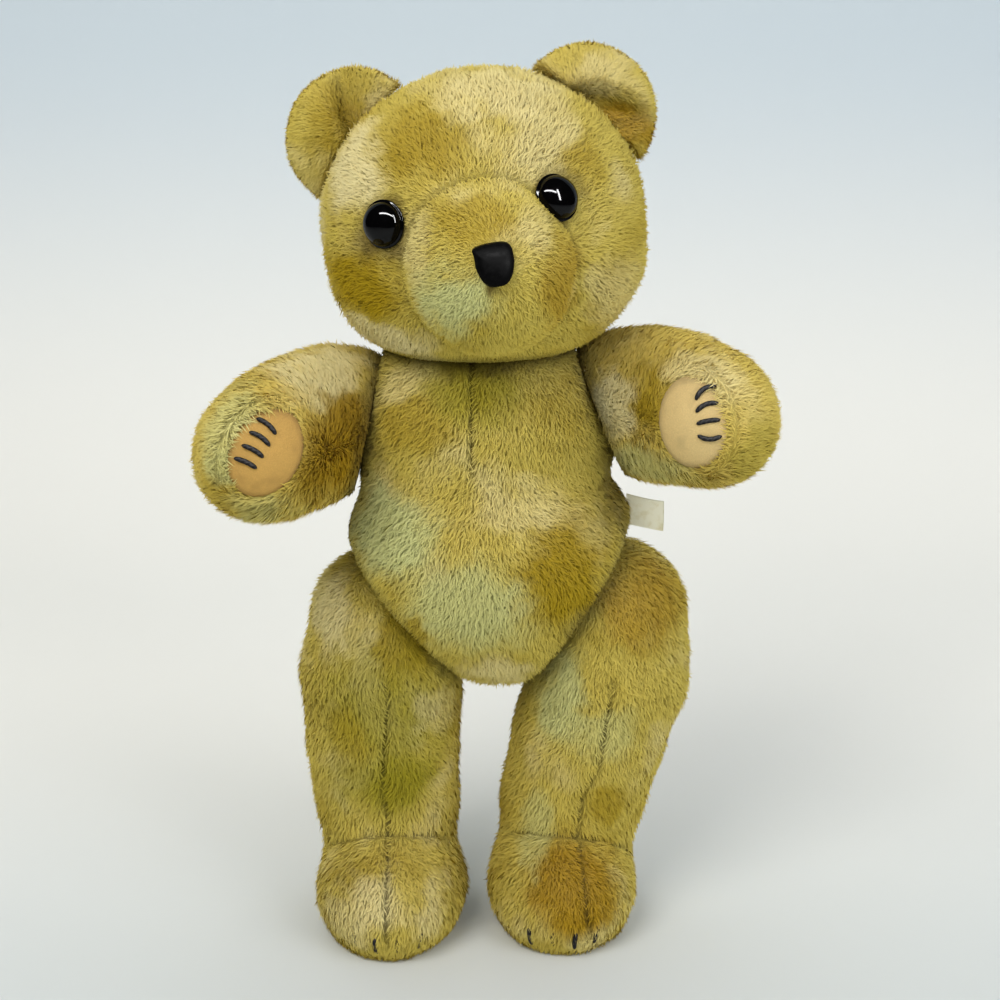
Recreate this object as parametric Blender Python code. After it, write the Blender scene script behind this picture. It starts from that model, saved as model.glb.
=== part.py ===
"""Jointed plush bear: six filled covers that turn on five disc joints.

Every soft body is a rounded form, given as a distance field of balls and
ellipsoids that run into each other. Rays from the middle of the form meet its
surface, which gives a closed grid of points. The same form, set in by the
thickness of the cloth, gives the inside of the cover and then the filling.
Sizes are in millimetres and MM turns them into metres where a mesh is made.
The bear faces -Y, its right side is -X, and it stands on z = 0.
"""

import math

import bmesh
import bpy
import numpy as np
from mathutils.bvhtree import BVHTree

MM = 0.001

# Puts the middle of the outline over the origin
SHIFT = (0.2, 19.3, 0.0)

# Cloth and fits
CLOTH = 3.0
FILL_GAP = 0.4
SEAT_GAP = 0.15
FIT = 0.3
CLEAR = 130.0
STAND_OFF = 30.0
BLEND = 12.0
EDGE = 2.0
FELT = 2.0
FELT_SINK = 0.6

# Joint hardware
DISC_RADIUS = {"neck": 21.0, "shoulder": 17.0, "hip": 21.0}
DISC_THICK = 3.0
STEM_RADIUS = 3.0
LOCK_RADIUS = 7.0
LOCK_THICK = 2.5
STEM_END = 2.0
HARD_SIDES = 12

# Joints: the point on the joint plane, and the way from the body to the limb
NECK = ((-5.0, 4.0, 300.0), (0.0, 0.0, 1.0))
SHOULDER_RIGHT = ((-58.2, 2.0, 266.0), (-0.976, 0.0, 0.217))
SHOULDER_LEFT = ((54.2, 2.0, 266.0), (0.926, 0.0, 0.377))
HIP_RIGHT = ((-43.0, 2.0, 171.0), (-0.783, 0.0, -0.622))
HIP_LEFT = ((44.0, 2.0, 172.0), (0.856, 0.0, -0.518))

# The point inside each body that its rays leave from
MIDDLES = {
    "torso": (0.0, 0.0, 212.0),
    "head": (-3.0, -6.0, 358.0),
    "arm_right": (-90.0, -20.0, 262.0),
    "arm_left": (92.0, -16.0, 270.0),
    "leg_right": (-54.0, -8.0, 50.0),
    "leg_left": (42.0, -8.0, 50.0),
}

# Body
BELLY = ((0.0, 0.0, 197.0), (73.0, 60.0, 62.0))
CHEST = ((-5.0, 2.0, 258.0), (61.0, 48.0, 66.0))
SEAT = ((6.0, -1.0, 166.0), (48.0, 44.0, 36.0))
SHOULDERS = ((-3.0, 3.0, 266.0), (74.0, 38.0, 42.0))

# Head, in its own frame about HEAD_CENTRE
HEAD_CENTRE = (-3.0, 0.0, 360.0)
HEAD_ROLL = 9.0
HEAD_BLENDS = (16.0, 7.0, 9.0)
HEAD_SKULL = ((0.0, 0.0, 3.0), (76.0, 64.0, 69.0))
HEAD_JAW = ((0.0, -4.0, -22.0), (70.0, 58.0, 48.0))
MUZZLE = ((1.5, -58.0, -12.5), (38.0, 34.0, 40.0))
SNOUT = ((7.0, -72.0, -14.0), (25.0, 24.0, 24.0))
EAR_ANGLE = {"right": 42.0, "left": 37.0}
EAR_REACH = {"right": 72.0, "left": 70.0}
EAR_RADII = (31.0, 10.5, 31.0)
EAR_BACK = 4.0
EAR_MIDDLE = 5.0
EAR_BLENDS = (4.0, 1.0)

# The fold that an ear is sewn into: its place on the ear, its slant and its half sizes
EAR_FOLD = {"right": ((3.0, -10.0, 13.0), 103.0), "left": ((6.0, -10.0, 3.0), -20.0)}
EAR_FOLD_RADII = (21.0, 11.0, 8.0)
EYE_RADIUS = 11.0
EYE_DOME = 6.5
EYE_BACK = 2.0
EYE_RIGHT = (-43.0, 13.0)
EYE_LEFT = (36.0, 13.0)
NOSE_HALF = (8.4, 9.2)
NOSE_AT = (5.0, -6.0)
NOSE_THICK = 6.0

# Limbs: balls along the middle line, (x, y, z, radius)
ARM_RIGHT = (
    (-66, 4, 264, 33),
    (-84, -8, 262, 34),
    (-97, -32, 262, 32),
    (-103, -56, 262, 29),
    (-106, -64, 262, 27),
)
ARM_LEFT = (
    (64, 4, 271, 35),
    (82, -6, 273, 34),
    (94, -22, 274, 31),
    (102, -40, 274, 29),
    (105, -50, 274, 27),
)
LEG_RIGHT = (
    (-53, 3, 158, 38),
    (-56, 3, 130, 38),
    (-56, 2, 95, 36),
    (-54, 2, 60, 34),
    (-53, 8, 35, 31),
)
LEG_LEFT = (
    (60, 3, 160, 40),
    (60, 3, 130, 38),
    (51, 2, 95, 36),
    (43, 2, 60, 34),
    (39, 6, 35, 32),
)
FOOT_RADII = {"right": (37.5, 51.0, 37.0), "left": (37.5, 48.0, 37.0)}
FOOT_BLEND = 10.0
FOOT_RIGHT = (-51.0, -21.0, 20.0)
FOOT_LEFT = (37.0, -18.0, 20.0)
SOLE_STEP = 0.6
SOLE_HALF = (22.0, 38.0)

# Palm pads: the middle, the way the pad faces, the way the claws point, half sizes
PALM_HALF = (15.8, 21.0)
PALM_RIGHT = ((-103.5, -66.0, 266.0), (0.20, -0.97, 0.12), (-0.85, 0.0, 0.53))
PALM_LEFT = ((95.0, -52.0, 276.0), (-0.15, -0.98, 0.10), (0.99, 0.0, 0.12))

# Claws: how far out the row lies, how far along it is moved, the slant and the fan of its threads
CLAW_ROW = {"right": (6.2, -1.3, -1.0, 5.0), "left": (7.5, 4.4, 10.0, 11.0)}
CLAW_BEND = {"right": (-1.3, -1.3, -1.0, -0.8), "left": (-1.6, 0.6, 1.8, 2.4)}
CLAW_PITCH = 6.2
CLAW_RADIUS = 1.0
CLAW_LENGTH = 11.0
CLAW_STEPS = 6
TOE_PITCH = 11.0

LABEL_Y = 10.0
LABEL_Z = (222.5, 206.5)
LABEL_SIZE = (20.0, 0.5)
LABEL_DROP = 14.0


# Distance fields


def unit(vector):
    """The vector at length one."""
    vector = np.asarray(vector, float)
    return vector / np.linalg.norm(vector)


def across(way):
    """Two unit directions square to way and to each other."""
    way = unit(way)
    other = (0.0, 1.0, 0.0) if abs(way[1]) < 0.9 else (0.0, 0.0, 1.0)
    side = unit(np.cross(other, way))
    return side, np.cross(way, side)


def least(a, b, blend):
    """The smaller of two distances, rounded where they are nearly the same."""
    near = np.clip(0.5 + 0.5 * (b - a) / blend, 0.0, 1.0)
    return b + (a - b) * near - blend * near * (1.0 - near)


def most(a, b, blend):
    """The larger of two distances, rounded where they are nearly the same."""
    return -least(-a, -b, blend)


def ellipsoid(points, centre, radii):
    """Distance from an ellipsoid, near enough for a smooth blend."""
    offset = points - np.asarray(centre, float)
    radii = np.asarray(radii, float)
    one = np.linalg.norm(offset / radii, axis=-1)
    two = np.linalg.norm(offset / radii**2, axis=-1)
    return one * (one - 1.0) / np.maximum(two, 1e-9)


def chain(points, balls, blend=BLEND):
    """Distance from a row of balls that run into each other."""
    far = None
    for start, end in zip(balls[:-1], balls[1:]):
        a = np.array(start[:3], float)
        b = np.array(end[:3], float)
        along = np.clip(((points - a) @ (b - a)) / ((b - a) @ (b - a)), 0.0, 1.0)
        middle = a + along[..., None] * (b - a)
        radius = start[3] + along * (end[3] - start[3])
        reach = np.linalg.norm(points - middle, axis=-1) - radius
        far = reach if far is None else least(far, reach, blend)
    return far


def turn_y(degrees):
    """Matrix of a turn about Y that lifts +X towards +Z."""
    angle = math.radians(degrees)
    c, s = math.cos(angle), math.sin(angle)
    return np.array([[c, 0.0, -s], [0.0, 1.0, 0.0], [s, 0.0, c]])


HEAD_TURN = turn_y(HEAD_ROLL)


def head_local(points):
    """Points of the world in the frame of the head."""
    return (points - np.array(HEAD_CENTRE)) @ HEAD_TURN


def head_world(points):
    """Points of the head's frame in the world."""
    return np.asarray(points, float) @ HEAD_TURN.T + np.array(HEAD_CENTRE)


class Form:
    """A rounded body: its field, the planes that cut it flat, and its grid."""

    def __init__(self, field, cuts, centre, stretch, rings, segments, pole=(0, 0, 1)):
        self.field = field
        self.cuts = cuts
        self.centre = np.array(centre, float)
        self.stretch = np.array(stretch, float)
        self.rings = rings
        self.segments = segments
        self.pole = pole

    def distance(self, points):
        """Signed distance from the body, with its flat seats."""
        far = self.field(points)
        for (point, normal), gap in self.cuts:
            far = most(far, (points - np.array(point)) @ unit(normal) + gap, EDGE)
        return far

    def ways(self):
        """Unit directions of the grid, from one pole to the other."""
        polar = np.linspace(0.0, math.pi, self.rings + 2)[1:-1]
        around = np.linspace(0.0, 2 * math.pi, self.segments, endpoint=False)
        polar, around = np.meshgrid(polar, around, indexing="ij")
        flat = np.stack(
            [np.sin(polar) * np.cos(around), np.sin(polar) * np.sin(around), np.cos(polar)],
            axis=-1,
        ).reshape(-1, 3)
        flat = np.vstack([[0.0, 0.0, 1.0], flat, [0.0, 0.0, -1.0]])
        side, up = across(self.pole)
        flat = flat @ np.stack([side, up, unit(self.pole)]) * self.stretch
        return flat / np.linalg.norm(flat, axis=1, keepdims=True)

    def surface(self, inset=0.0):
        """Points where the rays from the middle meet the surface set in by inset."""
        ways = self.ways()
        inside = np.zeros(len(ways))
        outside = np.full(len(ways), 2 * CLEAR)
        for _ in range(44):
            middle = (inside + outside) / 2
            here = self.field(self.centre + ways * middle[:, None]) + inset < 0
            inside = np.where(here, middle, inside)
            outside = np.where(here, outside, middle)
        return self.centre + ways * inside[:, None]

    def solid(self, inset=0.0):
        """(points, faces) of the body set in by inset, with its seats cut flat."""
        shape = bmesh.new()
        made = [shape.verts.new(point) for point in self.surface(inset)]
        for face in self.faces():
            shape.faces.new([made[i] for i in face])
        for (point, normal), gap in self.cuts:
            way = unit(normal)
            place = np.array(point) - way * (gap + inset)
            everything = shape.verts[:] + shape.edges[:] + shape.faces[:]
            bmesh.ops.bisect_plane(
                shape, geom=everything, dist=1e-4, plane_co=place, plane_no=way, clear_outer=True
            )
            open_edges = [edge for edge in shape.edges if edge.is_boundary]
            bmesh.ops.contextual_create(shape, geom=open_edges)
        bmesh.ops.recalc_face_normals(shape, faces=shape.faces[:])
        shape.verts.index_update()
        points = np.array([vert.co[:] for vert in shape.verts])
        faces = [tuple(vert.index for vert in face.verts) for face in shape.faces]
        shape.free()
        return points, faces

    def faces(self):
        """Faces of the grid, with the outside outwards."""
        rows, columns = self.rings, self.segments
        last = rows * columns + 1
        faces = []
        for j in range(columns):
            k = (j + 1) % columns
            faces.append((0, 1 + j, 1 + k))
            faces.append((last, 1 + (rows - 1) * columns + k, 1 + (rows - 1) * columns + j))
            for i in range(rows - 1):
                a = 1 + i * columns
                b = a + columns
                faces.append((a + j, b + j, b + k))
                faces.append((a + j, b + k, a + k))
        return faces

    def seat(self, start, way, inset=0.0):
        """The first point of the surface met from start along way."""
        start = np.atleast_2d(np.asarray(start, float))
        way = unit(way)
        steps = np.arange(0.0, CLEAR, EDGE / 4)
        track = start[:, None, :] + steps[None, :, None] * way
        hit = self.distance(track) + inset < 0
        first = np.where(hit.any(axis=1), hit.argmax(axis=1), 0)
        far = steps[first]
        near = np.maximum(far - EDGE / 4, 0.0)
        for _ in range(30):
            middle = (near + far) / 2
            here = self.distance(start + middle[:, None] * way) + inset < 0
            far = np.where(here, middle, far)
            near = np.where(here, near, middle)
        return start + far[:, None] * way


def reach_of(meshes, starts, way):
    """How far along way each start meets the first of some meshes."""
    trees = [BVHTree.FromPolygons(points.tolist(), faces) for points, faces in meshes]
    reach = []
    for start in np.asarray(starts, float):
        hits = [tree.ray_cast(start.tolist(), way.tolist())[3] for tree in trees]
        reach.append(min(hit for hit in hits if hit is not None))
    return np.array(reach)


def flipped(plane):
    """The same plane, facing the other way."""
    point, normal = plane
    return point, tuple(-n for n in normal)


def torso_field(points):
    """Belly, chest, shoulders and the narrow end between the legs."""
    far = ellipsoid(points, *BELLY)
    for lump in (CHEST, SEAT, SHOULDERS):
        far = least(far, ellipsoid(points, *lump), BLEND)
    return far


def head_field(points):
    """Skull, full cheeks, the muzzle and the snout at its end."""
    local = head_local(points)
    far = least(ellipsoid(local, *HEAD_SKULL), ellipsoid(local, *HEAD_JAW), HEAD_BLENDS[0])
    far = least(far, ellipsoid(local, *MUZZLE), HEAD_BLENDS[1])
    return least(far, ellipsoid(local, *SNOUT), HEAD_BLENDS[2])


def leg_field(balls, foot, radii):
    """Field of a leg with its foot."""
    def field(points):
        return least(chain(points, balls), ellipsoid(points, foot, radii), FOOT_BLEND)
    return field


FLOOR = ((0.0, 0.0, SOLE_STEP), (0.0, 0.0, -1.0))

TORSO = Form(
    torso_field,
    [(p, SEAT_GAP) for p in (NECK, SHOULDER_RIGHT, SHOULDER_LEFT, HIP_RIGHT, HIP_LEFT)],
    MIDDLES["torso"], (1.0, 0.9, 1.15), 13, 20,
)
HEAD = Form(
    head_field, [(flipped(NECK), SEAT_GAP)],
    MIDDLES["head"], (1.0, 1.0, 1.0), 13, 20, (0, -1, 0),
)
ARMS = {
    "right": Form(
        lambda p: chain(p, ARM_RIGHT), [(flipped(SHOULDER_RIGHT), SEAT_GAP)],
        MIDDLES["arm_right"], (1.0, 1.2, 1.0), 10, 16, SHOULDER_RIGHT[1],
    ),
    "left": Form(
        lambda p: chain(p, ARM_LEFT), [(flipped(SHOULDER_LEFT), SEAT_GAP)],
        MIDDLES["arm_left"], (1.0, 1.1, 1.0), 10, 16, SHOULDER_LEFT[1],
    ),
}
LEGS = {
    "right": Form(
        leg_field(LEG_RIGHT, FOOT_RIGHT, FOOT_RADII["right"]), [(flipped(HIP_RIGHT), SEAT_GAP), (FLOOR, 0.0)],
        MIDDLES["leg_right"], (1.0, 1.0, 1.15), 16, 16,
    ),
    "left": Form(
        leg_field(LEG_LEFT, FOOT_LEFT, FOOT_RADII["left"]), [(flipped(HIP_LEFT), SEAT_GAP), (FLOOR, 0.0)],
        MIDDLES["leg_left"], (1.0, 1.0, 1.15), 16, 16,
    ),
}


# Meshes and objects


def material(name, colour, roughness, metallic=0.0, coat=0.0):
    """A finish for one node."""
    made = bpy.data.materials.new(name)
    made.use_nodes = True
    shader = made.node_tree.nodes["Principled BSDF"]
    shader.inputs["Base Color"].default_value = (*colour, 1.0)
    shader.inputs["Roughness"].default_value = roughness
    shader.inputs["Metallic"].default_value = metallic
    shader.inputs["Coat Weight"].default_value = coat
    made.diffuse_color = (*colour, 1.0)
    return made


PLUSH = (0.42, 0.31, 0.11)
FELT_COLOUR = (0.68, 0.40, 0.22)
BLACK = (0.01, 0.01, 0.012)
FILL = (0.80, 0.78, 0.72)
PLASTIC = (0.75, 0.74, 0.70)
THREAD = (0.015, 0.014, 0.016)
PAPER = (0.82, 0.80, 0.70)


def add(name, points, faces, colour, roughness=0.9, origin=(0, 0, 0), hidden=False, coat=0.0):
    """An object from points in millimetres, with its origin at the joint."""
    mesh = bpy.data.meshes.new(name)
    origin = np.array(origin, float)
    mesh.from_pydata(((np.asarray(points) - origin) * MM).tolist(), [], faces)
    mesh.shade_smooth()
    mesh.set_sharp_from_angle(angle=math.radians(40.0))
    mesh.update()
    obj = bpy.data.objects.new(name, mesh)
    obj.location = (origin + np.array(SHIFT)) * MM
    bpy.context.scene.collection.objects.link(obj)
    if hidden:
        obj.hide_render = True
        obj.display_type = "WIRE"
    else:
        mesh.materials.append(material(name, colour, roughness, coat=coat))
    return obj


def cut(obj, tool, kind="DIFFERENCE"):
    """A Boolean of obj by tool."""
    modifier = obj.modifiers.new(tool.name, "BOOLEAN")
    modifier.operation = kind
    modifier.solver = "EXACT"
    modifier.object = tool
    return modifier


def lathe(point, way, profile, segments=24, sides=(1.0, 1.0), along=None):
    """A turned solid: profile is (distance along way, radius), ends at radius zero."""
    way = unit(way)
    if along is None:
        side, up = across(way)
    else:
        side = unit(np.asarray(along) - way * (np.asarray(along) @ way))
        up = np.cross(way, side)
    point = np.asarray(point, float)
    around = np.linspace(0, 2 * math.pi, segments, endpoint=False)
    ring = np.outer(np.cos(around) * sides[0], side) + np.outer(np.sin(around) * sides[1], up)
    points = [point + way * profile[0][0]]
    for far, radius in profile[1:-1]:
        points.extend(point + way * far + ring * radius)
    points.append(point + way * profile[-1][0])
    rows = len(profile) - 2
    last = rows * segments + 1
    faces = []
    for j in range(segments):
        k = (j + 1) % segments
        faces.append((0, 1 + k, 1 + j))
        faces.append((last, 1 + (rows - 1) * segments + j, 1 + (rows - 1) * segments + k))
        for i in range(rows - 1):
            a = 1 + i * segments
            b = a + segments
            faces.append((a + j, a + k, b + k, b + j))
    return np.array(points), faces


def ring(point, way, near, far, inner, outer, segments=12):
    """A flat ring between two distances along way."""
    way = unit(way)
    side, up = across(way)
    around = np.linspace(0, 2 * math.pi, segments, endpoint=False)
    circle = np.outer(np.cos(around), side) + np.outer(np.sin(around), up)
    point = np.asarray(point, float)
    loops = [(near, inner), (near, outer), (far, outer), (far, inner)]
    points = np.vstack([point + way * far_ + circle * radius for far_, radius in loops])
    faces = []
    for i in range(4):
        a = i * segments
        b = ((i + 1) % 4) * segments
        for j in range(segments):
            k = (j + 1) % segments
            faces.append((a + j, a + k, b + k, b + j))
    return points, faces


def plug(name, point, way, near, far, radius, sides=(1.0, 1.0), along=None, count=14):
    """A hidden cylinder for a Boolean."""
    profile = [(near, 0), (near, radius), (far, radius), (far, 0)]
    points, faces = lathe(point, way, profile, count, sides, along)
    return add(name, points, faces, BLACK, hidden=True)


def cover(name, form, origin):
    """A cloth shell: the form, with the form set in by the cloth as its inside."""
    outer, faces = form.solid()
    inner, inside = form.solid(CLOTH)
    inside = [tuple(v + len(outer) for v in reversed(face)) for face in inside]
    return add(name, np.vstack([outer, inner]), faces + inside, PLUSH, origin=origin)


def filling(name, form, origin):
    """The filling: the form, set in by the cloth and a small gap."""
    points, faces = form.solid(CLOTH + FILL_GAP)
    return add(name, points, faces, FILL, origin=origin)


def joint(name, plane, inner, outer, inner_fill, outer_fill):
    """Disc with a stem in the limb, a washer and a lock ring in the body."""
    point, way = plane
    radius = DISC_RADIUS[name.split("_")[0]]
    flat = SEAT_GAP + CLOTH + FIT
    disc_end = flat + DISC_THICK
    lock_start = -(disc_end + FIT)
    lock_end = lock_start - LOCK_THICK
    stem_end = lock_end - STEM_END
    profile = [
        (stem_end, 0), (stem_end, STEM_RADIUS), (flat, STEM_RADIUS),
        (flat, radius), (disc_end, radius), (disc_end, 0),
    ]
    points, faces = lathe(point, way, profile, HARD_SIDES)
    add(f"{name}_disc", points, faces, PLASTIC, 0.4, origin=point)
    hole = STEM_RADIUS + FIT
    points, faces = ring(point, way, -disc_end, -flat, hole, radius)
    add(f"{name}_washer", points, faces, PLASTIC, 0.4, origin=point)
    points, faces = ring(point, way, lock_end, lock_start, hole, LOCK_RADIUS)
    add(f"{name}_lock", points, faces, PLASTIC, 0.4, origin=point)
    hole_tool = plug(f"cut_{name}_hole", point, way, -8.0, 8.0, hole)
    cut(inner, hole_tool)
    cut(outer, hole_tool)
    pocket = radius + 2 * FIT
    cut(outer_fill, plug(f"cut_{name}_outer", point, way, -20.0, disc_end + FIT, pocket))
    steps = [
        (stem_end - FIT, 0), (stem_end - FIT, LOCK_RADIUS + FIT),
        (-(disc_end + FIT), LOCK_RADIUS + FIT), (-(disc_end + FIT), pocket), (20.0, pocket), (20.0, 0),
    ]
    points, faces = lathe(point, way, steps, HARD_SIDES)
    cut(inner_fill, add(f"cut_{name}_inner", points, faces, BLACK, hidden=True))


def patch(form, middle, face, along, half, low, high, rings=3, segments=18):
    """A panel on a form: (points, faces) between two insets of its surface."""
    face = unit(face)
    side = unit(np.asarray(along) - face * (np.asarray(along) @ face))
    up = np.cross(face, side)
    around = np.linspace(0, 2 * math.pi, segments, endpoint=False)
    flat = [np.zeros(2)]
    for i in range(1, rings + 1):
        for angle in around:
            flat.append(np.array([math.cos(angle) * half[0], math.sin(angle) * half[1]]) * i / rings)
    flat = np.array(flat)
    start = np.asarray(middle) + flat[:, :1] * side + flat[:, 1:] * up + face * STAND_OFF
    top = form.seat(start, -face, high)
    bottom = form.seat(start, -face, low)
    count = len(top)
    faces = []
    for j in range(segments):
        k = (j + 1) % segments
        faces.append((0, 1 + j, 1 + k))
        faces.append((count, count + 1 + k, count + 1 + j))
        for i in range(rings - 1):
            a = 1 + i * segments
            b = a + segments
            faces.append((a + j, b + j, b + k, a + k))
            faces.append((count + a + k, count + b + k, count + b + j, count + a + j))
        a = 1 + (rings - 1) * segments
        faces.append((a + j, count + a + j, count + a + k, a + k))
    return np.vstack([top, bottom]), faces


def stitch(name, meshes, middle, face, along, bend, origin):
    """One thread claw that lies on the surface and curves a little."""
    face = unit(face)
    along = unit(np.asarray(along) - face * (np.asarray(along) @ face))
    side = np.cross(face, along)
    fine = 6
    steps = np.linspace(-1.0, 1.0, fine * (CLAW_STEPS - 1) + 1)
    line = (
        np.asarray(middle)
        + np.outer(steps * CLAW_LENGTH / 2, along)
        + np.outer((1 - steps**2) * bend, side)
        + face * STAND_OFF
    )
    reach = np.pad(reach_of(meshes, line, -face), fine, mode="edge")
    lift = np.array([reach[i : i + 2 * fine + 1].min() for i in range(len(line))])
    line = (line - face * (lift - CLAW_RADIUS - FIT)[:, None])[::fine]
    points = []
    sides = 5
    around = np.linspace(0, 2 * math.pi, sides, endpoint=False)
    for i, here in enumerate(line):
        way = unit(line[min(i + 1, len(line) - 1)] - line[max(i - 1, 0)])
        right = unit(np.cross(face, way))
        up = np.cross(way, right)
        width = CLAW_RADIUS * (0.45 if i in (0, len(line) - 1) else 1.0)
        points.extend(here + width * (np.outer(np.cos(around), right) + np.outer(np.sin(around), up)))
    faces = [tuple(range(sides - 1, -1, -1)), tuple((len(line) - 1) * sides + j for j in range(sides))]
    for i in range(len(line) - 1):
        for j in range(sides):
            k = (j + 1) % sides
            a = i * sides
            faces.append((a + j, a + k, a + sides + k, a + sides + j))
    add(name, points, faces, THREAD, 0.5, origin=origin)


def slope(form, point):
    """The way out of the surface at a point."""
    point = np.asarray(point, float)
    steps = np.eye(3) * 0.5
    return unit([form.distance(point + s) - form.distance(point - s) for s in steps])


def clear():
    """Empties the scene."""
    for obj in list(bpy.data.objects):
        bpy.data.objects.remove(obj)


def build_arm(side, joint_plane, palm):
    """Cover, filling, palm pad and claws of one arm."""
    form = ARMS[side]
    origin = joint_plane[0]
    skin = cover(f"arm_{side}_cover", form, origin)
    fill = filling(f"arm_{side}_filling", form, origin)
    middle, face, along = palm
    face = unit(face)
    along = unit(np.asarray(along) - face * (np.asarray(along) @ face))
    hole = tuple(h + FIT for h in PALM_HALF)
    points, faces = patch(form, middle, face, along, PALM_HALF, FELT_SINK + FELT, FELT_SINK)
    add(f"palm_{side}", points, faces, FELT_COLOUR, origin=origin)
    meshes = [form.solid(), (points, faces)]
    cut(skin, plug(f"cut_palm_{side}", middle, face, -16.0, 30.0, 1.0, hole, along, 18))
    up = np.cross(face, along)
    reach, shift, slant, fan = CLAW_ROW[side]
    for i, bend in enumerate(CLAW_BEND[side]):
        spot = np.asarray(middle) + along * reach + up * ((i - 1.5) * CLAW_PITCH + shift)
        angle = math.radians(slant + fan * (i - 1.5))
        way = along * math.cos(angle) + up * math.sin(angle)
        stitch(f"claw_{side}_{i + 1}", meshes, spot, face, way, bend, origin)
    return skin, fill


def build_leg(side, joint_plane, foot):
    """Cover, filling, sole pad and toe stitches of one leg."""
    form = LEGS[side]
    origin = joint_plane[0]
    skin = cover(f"leg_{side}_cover", form, origin)
    fill = filling(f"leg_{side}_filling", form, origin)
    middle = (foot[0], foot[1], 0.0)
    profile = [(-(SOLE_STEP + FELT), 0), (-(SOLE_STEP + FELT), 1.0), (0.0, 1.0), (0.0, 0)]
    points, faces = lathe(middle, (0, 0, -1), profile, 24, SOLE_HALF, (1, 0, 0))
    add(f"sole_{side}", points, faces, FELT_COLOUR, origin=origin)
    hole = tuple(h + FIT for h in SOLE_HALF)
    cut(skin, plug(f"cut_sole_{side}", middle, (0, 0, -1), -9.0, 5.0, 1.0, hole, (1, 0, 0), 24))
    for i in range(4):
        across_foot = (i - 1.5) * TOE_PITCH
        start = np.array([foot[0] + across_foot, foot[1] - CLEAR, 12.0])
        spot = form.seat(start, (0, 1, 0))[0]
        stitch(f"toe_{side}_{i + 1}", [form.solid()], spot, slope(form, spot), (0, 0, 1), 0.5, origin)
    return skin, fill


def build_label():
    """The cloth label that hangs from the side seam."""
    edge = np.array([(CLEAR, LABEL_Y, z) for z in np.linspace(*LABEL_Z, 9)])
    edge[:, 0] -= reach_of([TORSO.solid()], edge, np.array((-1.0, 0.0, 0.0))).min() - 2 * FIT
    edge = edge[[0, -1]]
    drop = math.radians(LABEL_DROP)
    out = LABEL_SIZE[0] * unit((math.cos(drop), 0.12, -math.sin(drop)))
    thick = LABEL_SIZE[1] * unit(np.cross(out, edge[1] - edge[0]))
    points = [edge[c] + out * a + thick * b for a in (0, 1) for b in (0, 1) for c in (0, 1)]
    faces = [(2, 3, 1, 0), (5, 7, 6, 4), (1, 5, 4, 0), (6, 7, 3, 2), (4, 6, 2, 0), (3, 7, 5, 1)]
    add("label", points, faces, PAPER)


def build_ear(side, sign):
    """An ear with its fold, shaped to sit against the head."""
    name = f"ear_{side}"
    angle = math.radians(EAR_ANGLE[side])
    reach = EAR_REACH[side]
    centre = np.array([sign * math.cos(angle) * reach, EAR_BACK, math.sin(angle) * reach])
    place, slant = EAR_FOLD[side]

    def field(points):
        local = head_local(points)
        body = ellipsoid(local, centre, EAR_RADII)
        fold = ellipsoid((local - centre - np.array(place)) @ turn_y(slant), (0, 0, 0), EAR_FOLD_RADII)
        far = most(body, -fold, EAR_BLENDS[0])
        return most(far, 2 * FIT - head_field(points), EAR_BLENDS[1])

    middle = centre * 1.10 + np.array([0.0, EAR_MIDDLE, 0.0])
    form = Form(field, [], head_world(middle), (1.0, 0.5, 1.0), 10, 18, (0, -1, 0))
    add(name, form.surface(), form.faces(), PLUSH, origin=NECK[0])


def build_eye(name, spot):
    """A domed eye; gives the hidden tools for the cover and the filling."""
    start = head_world([spot[0], -CLEAR, spot[1]])
    seat = HEAD.seat(start, head_world([0, 1, 0]) - head_world([0, 0, 0]))[0]
    way = slope(HEAD, seat)
    shank = (CLOTH + 7.0, 2.4)
    dome = [(EYE_DOME, 0)]
    for step in (22, 45, 68, 90):
        angle = math.radians(step)
        dome.append((EYE_DOME * math.cos(angle), EYE_RADIUS * math.sin(angle)))
    profile = dome + [
        (-EYE_BACK, EYE_RADIUS * 0.8), (-EYE_BACK, shank[1]), (-shank[0], shank[1]), (-shank[0], 0)
    ]
    profile = profile[::-1]
    points, faces = lathe(seat, way, profile, 16)
    add(name, points, faces, BLACK, 0.08, origin=NECK[0], coat=1.0)
    grown = [
        (-shank[0] - FIT, 0), (-shank[0] - FIT, shank[1] + FIT), (-EYE_BACK - FIT, shank[1] + FIT),
        (-EYE_BACK - FIT, EYE_RADIUS * 0.8 + FIT), (0.0, EYE_RADIUS + FIT),
        (EYE_DOME + 10.0, EYE_RADIUS + FIT), (EYE_DOME + 10.0, 0),
    ]
    points, faces = lathe(seat, way, grown, 16)
    return add(f"cut_{name}", points, faces, BLACK, hidden=True)


def build_nose():
    """The nose: a rounded pad on the end of the snout."""
    start = head_world([NOSE_AT[0], -CLEAR, NOSE_AT[1]])
    way = head_world([0, -1, 0]) - head_world([0, 0, 0])
    along = head_world([1, 0, 0]) - head_world([0, 0, 0])
    start = start - way * STAND_OFF
    points, faces = patch(HEAD, start, way, along, NOSE_HALF, -FIT, -NOSE_THICK, 3, 16)
    count = len(points) // 2
    rim = np.arange(count - 16, count)
    points[rim] = points[rim] * 0.35 + points[rim + count] * 0.65
    add("nose", points, faces, BLACK, 0.5, origin=NECK[0])


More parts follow.
